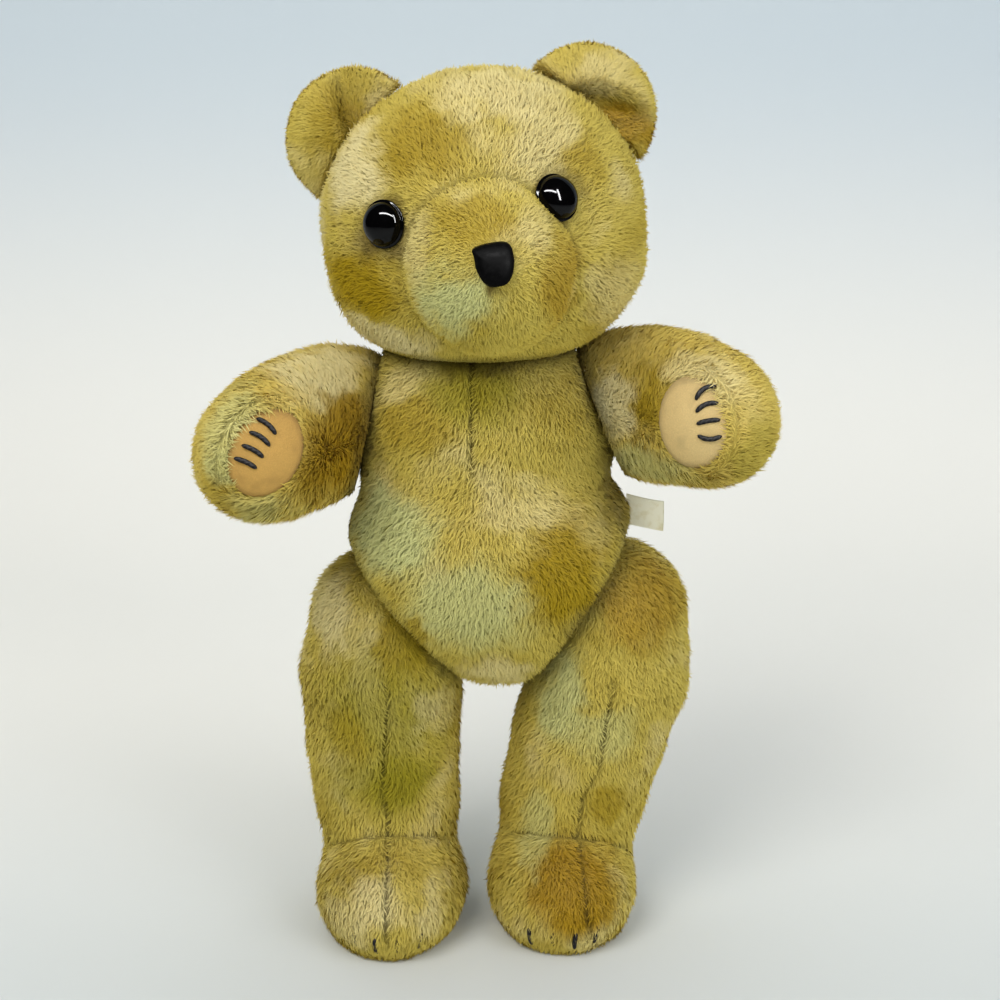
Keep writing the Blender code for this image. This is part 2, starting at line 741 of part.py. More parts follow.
def build():
    """The whole bear at rest."""
    clear()
    torso = cover("torso_cover", TORSO, (0, 0, 0))
    torso_fill = filling("torso_filling", TORSO, (0, 0, 0))
    head = cover("head_cover", HEAD, NECK[0])
    head_fill = filling("head_filling", HEAD, NECK[0])
    joint("neck", NECK, torso, head, torso_fill, head_fill)
    arms = {"right": (SHOULDER_RIGHT, PALM_RIGHT), "left": (SHOULDER_LEFT, PALM_LEFT)}
    for side, (plane, palm) in arms.items():
        skin, fill = build_arm(side, plane, palm)
        joint(f"shoulder_{side}", plane, torso, skin, torso_fill, fill)
    legs = {"right": (HIP_RIGHT, FOOT_RIGHT), "left": (HIP_LEFT, FOOT_LEFT)}
    for side, (plane, foot) in legs.items():
        skin, fill = build_leg(side, plane, foot)
        joint(f"hip_{side}", plane, torso, skin, torso_fill, fill)
    for side, spot in (("right", EYE_RIGHT), ("left", EYE_LEFT)):
        tool = build_eye(f"eye_{side}", spot)
        cut(head, tool)
        cut(head_fill, tool)
    build_nose()
    build_ear("right", -1)
    build_ear("left", 1)
    build_label()


build()
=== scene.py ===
"""Dresses the jointed plush bear: covers under fur, felt pads, thread claws, eyes, nose and label.

Shapes are worked out in millimetres in the frame that the solids were drawn in. SHIFT and MM
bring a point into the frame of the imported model. The bear faces -Y and stands on z = 0.
"""

import itertools
import logging
import math
from dataclasses import dataclass, field
from enum import Enum
from typing import Callable, Sequence

import bpy
import numpy as np
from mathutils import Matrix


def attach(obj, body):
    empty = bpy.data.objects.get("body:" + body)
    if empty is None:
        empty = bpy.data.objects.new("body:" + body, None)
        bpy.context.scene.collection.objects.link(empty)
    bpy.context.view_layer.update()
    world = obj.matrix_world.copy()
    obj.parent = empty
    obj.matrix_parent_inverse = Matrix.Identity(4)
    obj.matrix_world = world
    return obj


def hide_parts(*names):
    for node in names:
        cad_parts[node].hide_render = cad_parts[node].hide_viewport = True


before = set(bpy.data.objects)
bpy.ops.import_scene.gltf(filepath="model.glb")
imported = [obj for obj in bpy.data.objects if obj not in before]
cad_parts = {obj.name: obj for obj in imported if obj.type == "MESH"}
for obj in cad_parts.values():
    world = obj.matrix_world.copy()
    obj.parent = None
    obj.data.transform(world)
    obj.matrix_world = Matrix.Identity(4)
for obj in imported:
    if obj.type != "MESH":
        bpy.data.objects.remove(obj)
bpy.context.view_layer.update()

logging.basicConfig(level=logging.INFO, format="%(message)s")
LOG = logging.getLogger("bear")

MM = 0.001
SHIFT = np.array([0.2, 19.3, 0.0])
Array = np.ndarray
Field = Callable[[Array], Array]
Plane = tuple[tuple[float, float, float], tuple[float, float, float]]


# Shapes as distance fields


def unit(vector: Array) -> Array:
    """The vector, or each row of vectors, at length one."""
    vector = np.asarray(vector, float)
    return vector / np.maximum(np.linalg.norm(vector, axis=-1, keepdims=True), 1e-9)


def across(way: Array) -> tuple[Array, Array]:
    """Two unit directions square to way and to each other."""
    other = (0.0, 1.0, 0.0) if abs(way[1]) < 0.9 else (0.0, 0.0, 1.0)
    side = unit(np.cross(other, way))
    return side, np.cross(way, side)


def least(a: Array, b: Array, blend: float) -> Array:
    """The smaller of two distances, rounded over blend where they are nearly the same."""
    near = np.clip(0.5 + 0.5 * (b - a) / blend, 0.0, 1.0)
    return b + (a - b) * near - blend * near * (1.0 - near)


def most(a: Array, b: Array, blend: float) -> Array:
    """The larger of two distances, rounded over blend where they are nearly the same."""
    return -least(-a, -b, blend)


def bell(value: Array, width: float) -> Array:
    """A bump that is 1 at zero and falls off over width: e to the minus (value / width) squared."""
    return np.exp(-((value / width) ** 2))


def ramp(value: Array, low: float, high: float) -> Array:
    """From 0 at low to 1 at high, easing in and out: 3 t squared minus 2 t cubed."""
    t = np.clip((value - low) / (high - low), 0.0, 1.0)
    return t * t * (3.0 - 2.0 * t)


def ellipsoid(points: Array, centre: Sequence[float], radii: Sequence[float]) -> Array:
    """Distance from an ellipsoid: k (k - 1) / |p / r squared|, with k = |p / r|."""
    offset = points - np.asarray(centre, float)
    size = np.asarray(radii, float)
    one = np.linalg.norm(offset / size, axis=-1)
    two = np.linalg.norm(offset / size**2, axis=-1)
    return one * (one - 1.0) / np.maximum(two, 1e-9)


def chain(points: Array, balls: Sequence[Sequence[float]], blend: float = 12.0) -> Array:
    """Distance from a row of balls (x, y, z, radius) that run into each other."""
    far = None
    for start, end in zip(balls[:-1], balls[1:]):
        a, b = np.array(start[:3], float), np.array(end[:3], float)
        along = np.clip(((points - a) @ (b - a)) / ((b - a) @ (b - a)), 0.0, 1.0)
        middle = a + along[..., None] * (b - a)
        reach = np.linalg.norm(points - middle, axis=-1) - (start[3] + along * (end[3] - start[3]))
        far = reach if far is None else least(far, reach, blend)
    return far


def slope(shape: Field, points: Array, step: float = 0.6) -> Array:
    """The way out of a field at each point, from differences over step along each axis."""
    sides = [shape(points + s) - shape(points - s) for s in np.eye(3) * step]
    return unit(np.stack(sides, axis=-1))


# Noise that is the same on every run


def cell_value(cells: Array, salt: int) -> Array:
    """A number from 0 to 1 for each whole-number cell: its coordinates mixed by large odd factors."""
    n = cells.astype(np.int64)
    mixed = (n[..., 0] * 73856093) ^ (n[..., 1] * 19349663) ^ (n[..., 2] * 83492791) ^ (salt * 40503)
    mixed = ((mixed ^ (mixed >> 13)) & 0xFFFFFFFF) * 1274126177 & 0xFFFFFFFF
    return ((mixed ^ (mixed >> 16)) & 0xFFFFFF) / 16777215.0


def noise(points: Array, size: float, salt: int) -> Array:
    """Smooth noise from -1 to 1: the values at a cell's eight corners, blended by 3 t^2 - 2 t^3."""
    base = np.floor(points / size)
    part = points / size - base
    part = part * part * (3.0 - 2.0 * part)
    total = np.zeros(points.shape[:-1])
    for corner in itertools.product((0, 1), repeat=3):
        weight = np.prod(np.where(np.array(corner) == 1, part, 1.0 - part), axis=-1)
        total += weight * cell_value(base + np.array(corner), salt)
    return total * 2.0 - 1.0


def tuft(points: Array, size: float, salt: int) -> tuple[Array, Array]:
    """The middle and the number of the tuft that each point belongs to.

    The space is cut into cells of that size, each cell holds one point at a place of its own,
    and a root belongs to the nearest of the 27 about it.
    """
    base = np.floor(points / size)
    best = np.full(len(points), 1e9)
    middle = np.zeros_like(points)
    number = np.zeros(len(points))
    for step in itertools.product((-1, 0, 1), repeat=3):
        cell = base + np.array(step)
        place = np.stack([cell_value(cell, salt + k) for k in range(3)], axis=-1)
        spot = (cell + place) * size
        far = np.linalg.norm(points - spot, axis=-1)
        nearer = far < best
        best = np.where(nearer, far, best)
        middle = np.where(nearer[:, None], spot, middle)
        number = np.where(nearer, cell_value(cell, salt + 3), number)
    return middle, number


# Meshes


def to_frame(points: Array) -> Array:
    """Points from millimetres in the drawing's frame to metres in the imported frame."""
    return (points + SHIFT) * MM


def from_frame(points: Array) -> Array:
    """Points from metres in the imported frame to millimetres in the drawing's frame."""
    return points / MM - SHIFT


def make_object(name: str, points: Array, faces: Array, smooth: bool = True) -> bpy.types.Object:
    """A mesh object at the origin.

    Args:
        name: the piece's name.
        points: corners in millimetres, one row each.
        faces: corner numbers, one row a face, all rows as long as each other.
        smooth: whether the faces are shaded smooth.

    Returns:
        The object, linked to the scene.
    """
    mesh = bpy.data.meshes.new(name)
    mesh.vertices.add(len(points))
    mesh.vertices.foreach_set("co", to_frame(points).astype(np.float32).ravel())
    mesh.loops.add(faces.size)
    mesh.loops.foreach_set("vertex_index", faces.astype(np.int32).ravel())
    mesh.polygons.add(len(faces))
    starts = np.arange(0, faces.size, faces.shape[1], dtype=np.int32)
    mesh.polygons.foreach_set("loop_start", starts)
    mesh.polygons.foreach_set("use_smooth", np.full(len(faces), smooth))
    mesh.update(calc_edges=True)
    obj = bpy.data.objects.new(name, mesh)
    bpy.context.scene.collection.objects.link(obj)
    return obj


def set_values(obj: bpy.types.Object, name: str, values: Array) -> None:
    """Stores one number a corner on the mesh, under a name that a finish reads."""
    attribute = obj.data.attributes.new(name, "FLOAT", "POINT")
    attribute.data.foreach_set("value", np.asarray(values, np.float32))


def read_mesh(mesh: bpy.types.Mesh) -> tuple[Array, Array]:
    """The corners of a mesh in millimetres, and its faces cut into triangles."""
    points = np.empty(len(mesh.vertices) * 3, np.float32)
    mesh.vertices.foreach_get("co", points)
    mesh.calc_loop_triangles()
    triangles = np.empty(len(mesh.loop_triangles) * 3, np.int32)
    mesh.loop_triangles.foreach_get("vertices", triangles)
    return from_frame(points.reshape(-1, 3).astype(float)), triangles.reshape(-1, 3)


def corner_normals(points: Array, triangles: Array) -> Array:
    """The way out at each corner: the sum of the area vectors of the triangles round it."""
    a, b, c = (points[triangles[:, k]] for k in range(3))
    area = np.cross(b - a, c - a)
    total = np.zeros_like(points)
    for k in range(3):
        np.add.at(total, triangles[:, k], area)
    return unit(total)


def grid_faces(rows: int, columns: int, closed: bool = True) -> Array:
    """Four-cornered faces of a grid whose columns run round, as triangles' pairs for any mesh."""
    i, j = np.meshgrid(np.arange(rows - 1), np.arange(columns if closed else columns - 1), indexing="ij")
    k = (j + 1) % columns
    quads = [i * columns + j, (i + 1) * columns + j, (i + 1) * columns + k, i * columns + k]
    quads = np.stack([q.ravel() for q in quads], axis=-1)
    return np.vstack([quads[:, [0, 1, 2]], quads[:, [0, 2, 3]]])


def capped(rows: int, columns: int) -> Array:
    """Triangles of a closed grid with a single corner before it and another after it."""
    j = np.arange(columns)
    k = (j + 1) % columns
    last = rows * columns + 1
    top = np.stack([np.zeros_like(j), 1 + j, 1 + k], axis=-1)
    end = 1 + (rows - 1) * columns
    bottom = np.stack([np.full_like(j, last), end + k, end + j], axis=-1)
    return np.vstack([top, grid_faces(rows, columns) + 1, bottom])


def turned(
    point: Array,
    way: Array,
    profile: Array,
    segments: int = 48,
    along: Array | None = None,
    halves: tuple[float, float] = (1.0, 1.0),
    power: float = 2.0,
) -> tuple[Array, Array]:
    """A turned body: each row of profile is a distance along way and a radius.

    Formula: point + way d + r (h1 cos' u + h2 sin' v), where cos' and sin' are raised to 2 / power,
    so that power 2 is an ellipse and a higher one a rounded box.

    Args:
        point: the middle.
        way: the direction that it is turned about.
        profile: rows of (distance, radius), the first and last at radius zero.
        segments: steps round.
        along: the direction of the first half size.
        halves: half sizes across.
        power: how square the outline is.

    Returns:
        Its corners and triangles.
    """
    way = unit(way)
    side, up = across(way)
    if along is not None:
        side = unit(np.asarray(along) - way * (np.asarray(along) @ way))
        up = np.cross(way, side)
    angle = np.linspace(0.0, 2.0 * math.pi, segments, endpoint=False)
    c, s = np.cos(angle), np.sin(angle)
    c = np.sign(c) * np.abs(c) ** (2.0 / power) * halves[0]
    s = np.sign(s) * np.abs(s) ** (2.0 / power) * halves[1]
    ring = c[:, None] * side + s[:, None] * up
    rows = profile[1:-1]
    middle = point + rows[:, :1, None] * way + rows[:, 1:, None] * ring
    ends = point + way * profile[[0, -1], :1]
    points = np.vstack([ends[:1], middle.reshape(-1, 3), ends[1:]])
    return points, capped(len(rows), segments)[:, ::-1]


def swept(line: Array, radius: Array, lean: Array, sides: int = 12) -> tuple[Array, Array]:
    """A tube along a line: at each point, radius (side cos u + up sin u), closed at both ends."""
    way = unit(np.gradient(line, axis=0))
    side = unit(np.cross(np.broadcast_to(lean, way.shape), way))
    up = np.cross(way, side)
    angle = np.linspace(0.0, 2.0 * math.pi, sides, endpoint=False)
    ring = np.cos(angle)[None, :, None] * side[:, None] + np.sin(angle)[None, :, None] * up[:, None]
    middle = line[:, None] + radius[:, None, None] * ring
    points = np.vstack([line[:1], middle.reshape(-1, 3), line[-1:]])
    return points, capped(len(line), sides)[:, ::-1]


# Shader wiring


class Wire:
    """A socket, so that sums of the shader are written as sums."""

    def __init__(self, tree: bpy.types.NodeTree, socket: bpy.types.NodeSocket) -> None:
        """Keeps the tree and the socket."""
        self.tree = tree
        self.socket = socket

    def number(self, operation: str, *values: "Wire | float", clamp: bool = False) -> "Wire":
        """One Math node on these values."""
        node = self.tree.nodes.new("ShaderNodeMath")
        node.operation = operation
        node.use_clamp = clamp
        for slot, value in zip(node.inputs, values):
            plug(self.tree, slot, value)
        return Wire(self.tree, node.outputs[0])

    def __add__(self, other: "Wire | float") -> "Wire":
        """The sum."""
        return self.number("ADD", self, other)

    def __radd__(self, other: float) -> "Wire":
        """The sum."""
        return self.number("ADD", other, self)

    def __sub__(self, other: "Wire | float") -> "Wire":
        """The difference."""
        return self.number("SUBTRACT", self, other)

    def __rsub__(self, other: float) -> "Wire":
        """The difference from a number."""
        return self.number("SUBTRACT", other, self)

    def __mul__(self, other: "Wire | float") -> "Wire":
        """The product."""
        return self.number("MULTIPLY", self, other)

    def __rmul__(self, other: float) -> "Wire":
        """The product."""
        return self.number("MULTIPLY", other, self)

    def __pow__(self, other: float) -> "Wire":
        """The power."""
        return self.number("POWER", self, other)

    def held(self) -> "Wire":
        """The value held between 0 and 1."""
        return self.number("ADD", self, 0.0, clamp=True)


def plug(tree: bpy.types.NodeTree, slot: bpy.types.NodeSocket, value: object) -> None:
    """Sets a socket to a value, or links it to a wire."""
    if isinstance(value, Wire):
        tree.links.new(value.socket, slot)
    elif isinstance(value, tuple) and len(value) == 3 and slot.type == "RGBA":
        slot.default_value = (*value, 1.0)
    else:
        slot.default_value = value


class Recipe:
    """A material under way."""

    def __init__(self, name: str) -> None:
        """Starts the material with its one shader."""
        self.material = bpy.data.materials.new(name)
        self.material.use_nodes = True
        self.tree = self.material.node_tree
        self.shader = self.tree.nodes["Principled BSDF"]

    def node(
        self, kind: str, settings: dict | None = None, inputs: dict | None = None, out: int | str = 0
    ) -> Wire:
        """Adds one node.

        Args:
            kind: the node's type without its first word.
            settings: properties to set, before its sockets.
            inputs: values or wires by socket name or number.
            out: the output wanted.

        Returns:
            That output.
        """
        made = self.tree.nodes.new("ShaderNode" + kind)
        for key, value in (settings or {}).items():
            setattr(made, key, value)
        for key, value in (inputs or {}).items():
            plug(self.tree, made.inputs[key], value)
        return Wire(self.tree, made.outputs[out])

    def place(self) -> Wire:
        """The point of the surface in the object's frame, in metres."""
        return self.node("TexCoord", out="Object")

    def vector(self, operation: str, *values: object, out: int | str = 0) -> Wire:
        """One Vector Math node."""
        return self.node("VectorMath", {"operation": operation}, dict(enumerate(values)), out)

    def scaled(self, vector: Wire, size: "Wire | float") -> Wire:
        """A vector or colour times a number."""
        return self.node("VectorMath", {"operation": "SCALE"}, {0: vector, "Scale": size})

    def grain(self, place: Wire, size: float, detail: float = 3.0, rough: float = 0.55) -> Wire:
        """Noise from 0 to 1, with features about size millimetres across."""
        inputs = {"Vector": place, "Scale": 1.0 / (size * MM), "Detail": detail, "Roughness": rough}
        return self.node("TexNoise", None, inputs)

    def value(self, name: str) -> Wire:
        """The number that the mesh stores under a name."""
        return self.node("Attribute", {"attribute_name": name}, None, "Fac")

    def mix(self, a: object, b: object, share: "Wire | float", kind: str = "MIX") -> Wire:
        """Colour a turned towards b by share."""
        settings = {"data_type": "RGBA", "blend_type": kind}
        return self.node("Mix", settings, {0: share, 6: a, 7: b}, 2)

    def spread(self, value: Wire, low: float, high: float, start: float = 0.0, end: float = 1.0) -> Wire:
        """Value from low to high, eased on to start to end."""
        settings = {"interpolation_type": "SMOOTHSTEP"}
        inputs = {"Value": value, "From Min": low, "From Max": high, "To Min": start, "To Max": end}
        return self.node("MapRange", settings, inputs)

    def bump(self, height: Wire, far: float, strength: float = 1.0) -> Wire:
        """A normal from a height, with far its full depth in millimetres."""
        return self.node("Bump", None, {"Height": height, "Distance": far * MM, "Strength": strength})

    def done(
        self, colour: object, roughness: object, normal: Wire | None = None, **fixed: float
    ) -> bpy.types.Material:
        """Wires the shader.

        Args:
            colour: the base colour or its wire.
            roughness: the roughness or its wire.
            normal: the wire of the normal, if any.
            fixed: other sockets, with _ for a space, that are the same all over.

        Returns:
            The material.
        """
        plug(self.tree, self.shader.inputs["Base Color"], colour)
        plug(self.tree, self.shader.inputs["Roughness"], roughness)
        if normal is not None:
            plug(self.tree, self.shader.inputs["Normal"], normal)
        for key, value in fixed.items():
            plug(self.tree, self.shader.inputs[key.replace("_", " ")], value)
        return self.material


# Finishes


class Tone(Enum):
    """The tones of the plush, as linear colour: tones that the worn plush has taken on, and tones that paint
    light and shade on the brushed pile.
    """

    CREAM = (0.86, 0.75, 0.37)
    PALE = (0.66, 0.66, 0.27)
    BEIGE = (0.65, 0.51, 0.09)
    GOLD = (0.72, 0.55, 0.11)
    OCHRE = (0.43, 0.29, 0.005)
    RUST = (0.43, 0.255, 0.004)
    OLIVE = (0.36, 0.30, 0.009)
    # Dark brown: soil, and painted shade under the chin, under the arms and by the hip.
    SOIL = (0.12, 0.075, 0.012)


@dataclass(frozen=True)
class Patch:
    """A soft-edged patch: its middle, how far it reaches each way, its tone and its strength."""

    middle: tuple[float, float, float]
    reach: tuple[float, float, float]
    tone: Tone
    strength: float = 0.8


@dataclass(frozen=True)
class Plush:
    """The finish of one cover and its fur."""

    name: str
    ground: Tone = Tone.BEIGE
    patches: tuple[Patch, ...] = ()

    def colour(self, recipe: Recipe, place: Wire) -> Wire:
        """The plush's colour at a place: the ground tone, large faint clouds, then each patch."""
        clouds = recipe.grain(place, 38.0, 2.0, 0.5)
        colour = recipe.mix(self.ground.value, Tone.CREAM.value, recipe.spread(clouds, 0.52, 0.72, 0.0, 0.45))
        colour = recipe.mix(colour, Tone.OCHRE.value, recipe.spread(clouds, 0.30, 0.47, 0.45, 0.0))
        scatter = recipe.node("TexNoise", None, {"Vector": place, "Scale": 55.0, "Detail": 3.0}, "Color")
        scatter = recipe.vector("SUBTRACT", scatter, (0.5, 0.5, 0.5))
        wander = recipe.vector("ADD", place, recipe.scaled(scatter, 0.03))
        for patch in self.patches:
            middle = tuple(float(v) for v in to_frame(np.array(patch.middle)))
            reach = tuple(r * MM for r in patch.reach)
            offset = recipe.vector("DIVIDE", recipe.vector("SUBTRACT", wander, middle), reach)
            far = recipe.vector("LENGTH", offset, out="Value")
            share = recipe.spread(far, 0.35, 1.0, patch.strength, 0.0)
            colour = recipe.mix(colour, patch.tone.value, share)
        return colour

    def skin(self) -> bpy.types.Material:
        """The woven backing and the roots of the pile, darker than the tips: painted shade under the pile."""
        recipe = Recipe(self.name + "_skin")
        place = recipe.place()
        fine = recipe.grain(place, 1.3, 3.0, 0.7)
        # The seam value darkens it: painted shade along the seams, at the joints and in the ears' folds.
        shade = recipe.spread(fine, 0.3, 0.75, 0.72, 0.95) * (1.0 - recipe.value("seam") * 0.6)
        colour = recipe.scaled(self.colour(recipe, place), shade)
        return recipe.done(colour, 0.95, recipe.bump(fine, 1.2), Specular_IOR_Level=0.1)

    def fur(self) -> bpy.types.Material:
        """The strands: darker at the root and paler at the tip, as painted shade in the pile and painted
        light on the tips, each of its own tone.
        """
        recipe = Recipe(self.name + "_fur")
        place = recipe.place()
        colour = self.colour(recipe, place)
        tip = recipe.value("tip")
        tone = recipe.value("tone")
        # Paler tips are painted light and darker roots painted shade; the seam value adds painted shade along
        # the seams, at the joints and in the ears' folds.
        shade = (0.90 + tip * 0.14 + (tone - 0.5) * 0.12) * (1.0 - recipe.value("seam") * 0.6)
        colour = recipe.scaled(colour, shade)
        return recipe.done(colour, 0.75, None, Specular_IOR_Level=0.12)


@dataclass(frozen=True)
class Felt:
    """Peach felt: short matted fibres, darker towards the edge."""

    name: str = "felt"
    colour: tuple[float, float, float] = (0.66, 0.48, 0.20)

    def material(self) -> bpy.types.Material:
        """The felt's material."""
        recipe = Recipe(self.name)
        place = recipe.place()
        fibres = recipe.grain(place, 0.55, 4.0, 0.7)
        cloud = recipe.grain(place, 9.0, 2.0)
        pale, worn, edge_dark = (tuple(c * share for c in self.colour) for share in (1.25, 0.8, 0.55))
        colour = recipe.mix(self.colour, pale, recipe.spread(fibres, 0.4, 0.7, 0.0, 0.6))
        colour = recipe.mix(colour, worn, recipe.spread(cloud, 0.5, 0.75, 0.0, 0.6))
        # Darker towards the edge, by the seam value.
        colour = recipe.mix(colour, edge_dark, recipe.value("seam") * 0.6)
        return recipe.done(colour, 0.95, recipe.bump(fibres, 0.35), Specular_IOR_Level=0.15)


@dataclass(frozen=True)
class Gloss:
    """Moulded plastic: the eyes, the nose and the joint discs."""

    name: str
    colour: tuple[float, float, float]
    roughness: float
    shine: float = 0.5
    grain: float = 0.02

    def material(self) -> bpy.types.Material:
        """The plastic's material, with faint rubbed marks."""
        recipe = Recipe(self.name)
        place = recipe.place()
        rubbed = recipe.grain(place, 2.5, 4.0, 0.6)
        pale = tuple(min(1.0, c * 1.5 + 0.002) for c in self.colour)
        colour = recipe.mix(self.colour, pale, recipe.spread(rubbed, 0.5, 0.8, 0.0, 0.5))
        roughness = recipe.spread(rubbed, 0.3, 0.8, self.roughness, self.roughness * 1.7)
        return recipe.done(colour, roughness, recipe.bump(rubbed, self.grain), Specular_IOR_Level=self.shine)


@dataclass(frozen=True)
class Thread:
    """Black embroidery thread, twisted."""

    name: str = "claw_thread"

    def material(self) -> bpy.types.Material:
        """The thread's material: its twist is the value that the mesh stores."""
        recipe = Recipe(self.name)
        twist = recipe.value("twist")
        # Lighter along one side of each turn of the twist: painted light and shade on the plies.
        colour = recipe.mix((0.003, 0.003, 0.004), (0.020, 0.017, 0.017), recipe.spread(twist, 0.5, 1.0))
        fuzz = recipe.grain(recipe.place(), 0.4)
        roughness = recipe.spread(fuzz, 0.3, 0.7, 0.5, 0.75)
        return recipe.done(colour, roughness, recipe.bump(twist, 0.25), Specular_IOR_Level=0.2)


@dataclass(frozen=True)
class Weave:
    """Cream label cloth, plainly woven."""

    name: str = "label_cloth"
    pitch: float = 0.45

    def material(self) -> bpy.types.Material:
        """The label's material: two square waves that cross."""
        recipe = Recipe(self.name)
        place = recipe.place()
        inputs = {"Vector": place, "Scale": 314.0 / self.pitch / 20.0}
        warp, weft = (recipe.node("TexWave", {"bands_direction": way}, inputs) for way in "YZ")
        height = warp * weft
        cloud = recipe.grain(place, 5.0)
        colour = recipe.mix((0.86, 0.83, 0.64), (0.74, 0.68, 0.44), recipe.spread(cloud, 0.45, 0.75))
        return recipe.done(colour, 0.85, recipe.bump(height, 0.08))


# Forms


@dataclass(frozen=True)
class Lump:
    """An ellipsoid: its middle and its radii."""

    centre: tuple[float, float, float]
    radii: tuple[float, float, float]

    def distance(self, points: Array) -> Array:
        """Distance of points from it."""
        return ellipsoid(points, self.centre, self.radii)


@dataclass
class Form:
    """A rounded body: its field, the planes that cut it flat, and the middle that rays leave from."""

    shape: Field
    seats: list[tuple[Plane, float]]
    centre: tuple[float, float, float]
    stretch: tuple[float, float, float]
    pole: tuple[float, float, float] = (0.0, 0.0, 1.0)

    def distance(self, points: Array) -> Array:
        """Distance from the body with its flat seats."""
        far = self.shape(points)
        for (point, normal), gap in self.seats:
            far = most(far, (points - np.array(point)) @ unit(normal) + gap, 2.0)
        return far

    def ways(self, rings: int, segments: int) -> Array:
        """Directions by two angles: (sin a cos b, sin a sin b, cos a) about the pole, stretched."""
        polar = np.linspace(0.0, math.pi, rings + 2)[1:-1]
        around = np.linspace(0.0, 2.0 * math.pi, segments, endpoint=False)
        polar, around = np.meshgrid(polar, around, indexing="ij")
        flat = [np.sin(polar) * np.cos(around), np.sin(polar) * np.sin(around), np.cos(polar)]
        flat = np.vstack([[0.0, 0.0, 1.0], np.stack(flat, axis=-1).reshape(-1, 3), [0.0, 0.0, -1.0]])
        pole = unit(self.pole)
        side, up = across(pole)
        return unit(flat @ np.stack([side, up, pole]) * np.array(self.stretch))

    def shell(self, rings: int, segments: int, inset: float = 0.0) -> tuple[Array, Array]:
        """Closed grid where the rays from the middle meet the body set in by inset."""
        ways = self.ways(rings, segments)
        inside, outside = np.zeros(len(ways)), np.full(len(ways), 260.0)
        for _ in range(36):
            middle = (inside + outside) / 2
            here = self.distance(np.array(self.centre) + ways * middle[:, None]) + inset < 0
            inside = np.where(here, middle, inside)
            outside = np.where(here, outside, middle)
        return np.array(self.centre) + ways * inside[:, None], capped(rings, segments)

    def meet(self, starts: Array, way: Array, inset: float | Array = 0.0) -> Array:
        """The first point of the surface, set in by inset, from each start along way."""
        starts = np.atleast_2d(np.asarray(starts, float))
        way = unit(way)
        inset = np.broadcast_to(np.asarray(inset, float), (len(starts),))
        steps = np.arange(0.0, 150.0, 0.75)
        track = starts[:, None, :] + steps[None, :, None] * way
        hit = self.distance(track) + inset[:, None] < 0
        far = steps[np.where(hit.any(axis=1), hit.argmax(axis=1), 0)]
        near = np.maximum(far - 0.75, 0.0)
        for _ in range(24):
            middle = (near + far) / 2
            here = self.distance(starts + middle[:, None] * way) + inset < 0
            far, near = np.where(here, middle, far), np.where(here, near, middle)
        return starts + far[:, None] * way


@dataclass(frozen=True)
class Seam:
    """A sewn line: how far a point is from it, where it runs, its depth and its width."""

    offset: Field
    reach: Field
    depth: float = 1.8
    width: float = 2.2

    def share(self, points: Array, wide: float = 1.0) -> Array:
        """How much of the seam a point feels, from 0 to 1."""
        return bell(self.offset(points), self.width * wide) * self.reach(points)


@dataclass(frozen=True)
class Coat:
    """How the fur of one body grows."""

    strands: int
    length: float = 6.4
    width: float = 0.55
    lift: float = 33.0
    swirl: float = 0.35
    tufts: float = 2.4
    gather: float = 0.35
    salt: int = 1


SEAT_GAP = 0.15
SEATS: dict[str, Plane] = {
    "neck": ((-5.0, 4.0, 300.0), (0.0, 0.0, 1.0)),
    "shoulder_right": ((-58.2, 2.0, 266.0), (-0.976, 0.0, 0.217)),
    "shoulder_left": ((54.2, 2.0, 266.0), (0.926, 0.0, 0.377)),
    "hip_right": ((-43.0, 2.0, 171.0), (-0.783, 0.0, -0.622)),
    "hip_left": ((44.0, 2.0, 172.0), (0.856, 0.0, -0.518)),
}
FLOOR: Plane = ((0.0, 0.0, 0.6), (0.0, 0.0, -1.0))


def flipped(plane: Plane) -> Plane:
    """The same plane, facing the other way."""
    return plane[0], tuple(-n for n in plane[1])


def everywhere(points: Array) -> Array:
    """One at each point."""
    return np.ones(points.shape[:-1])


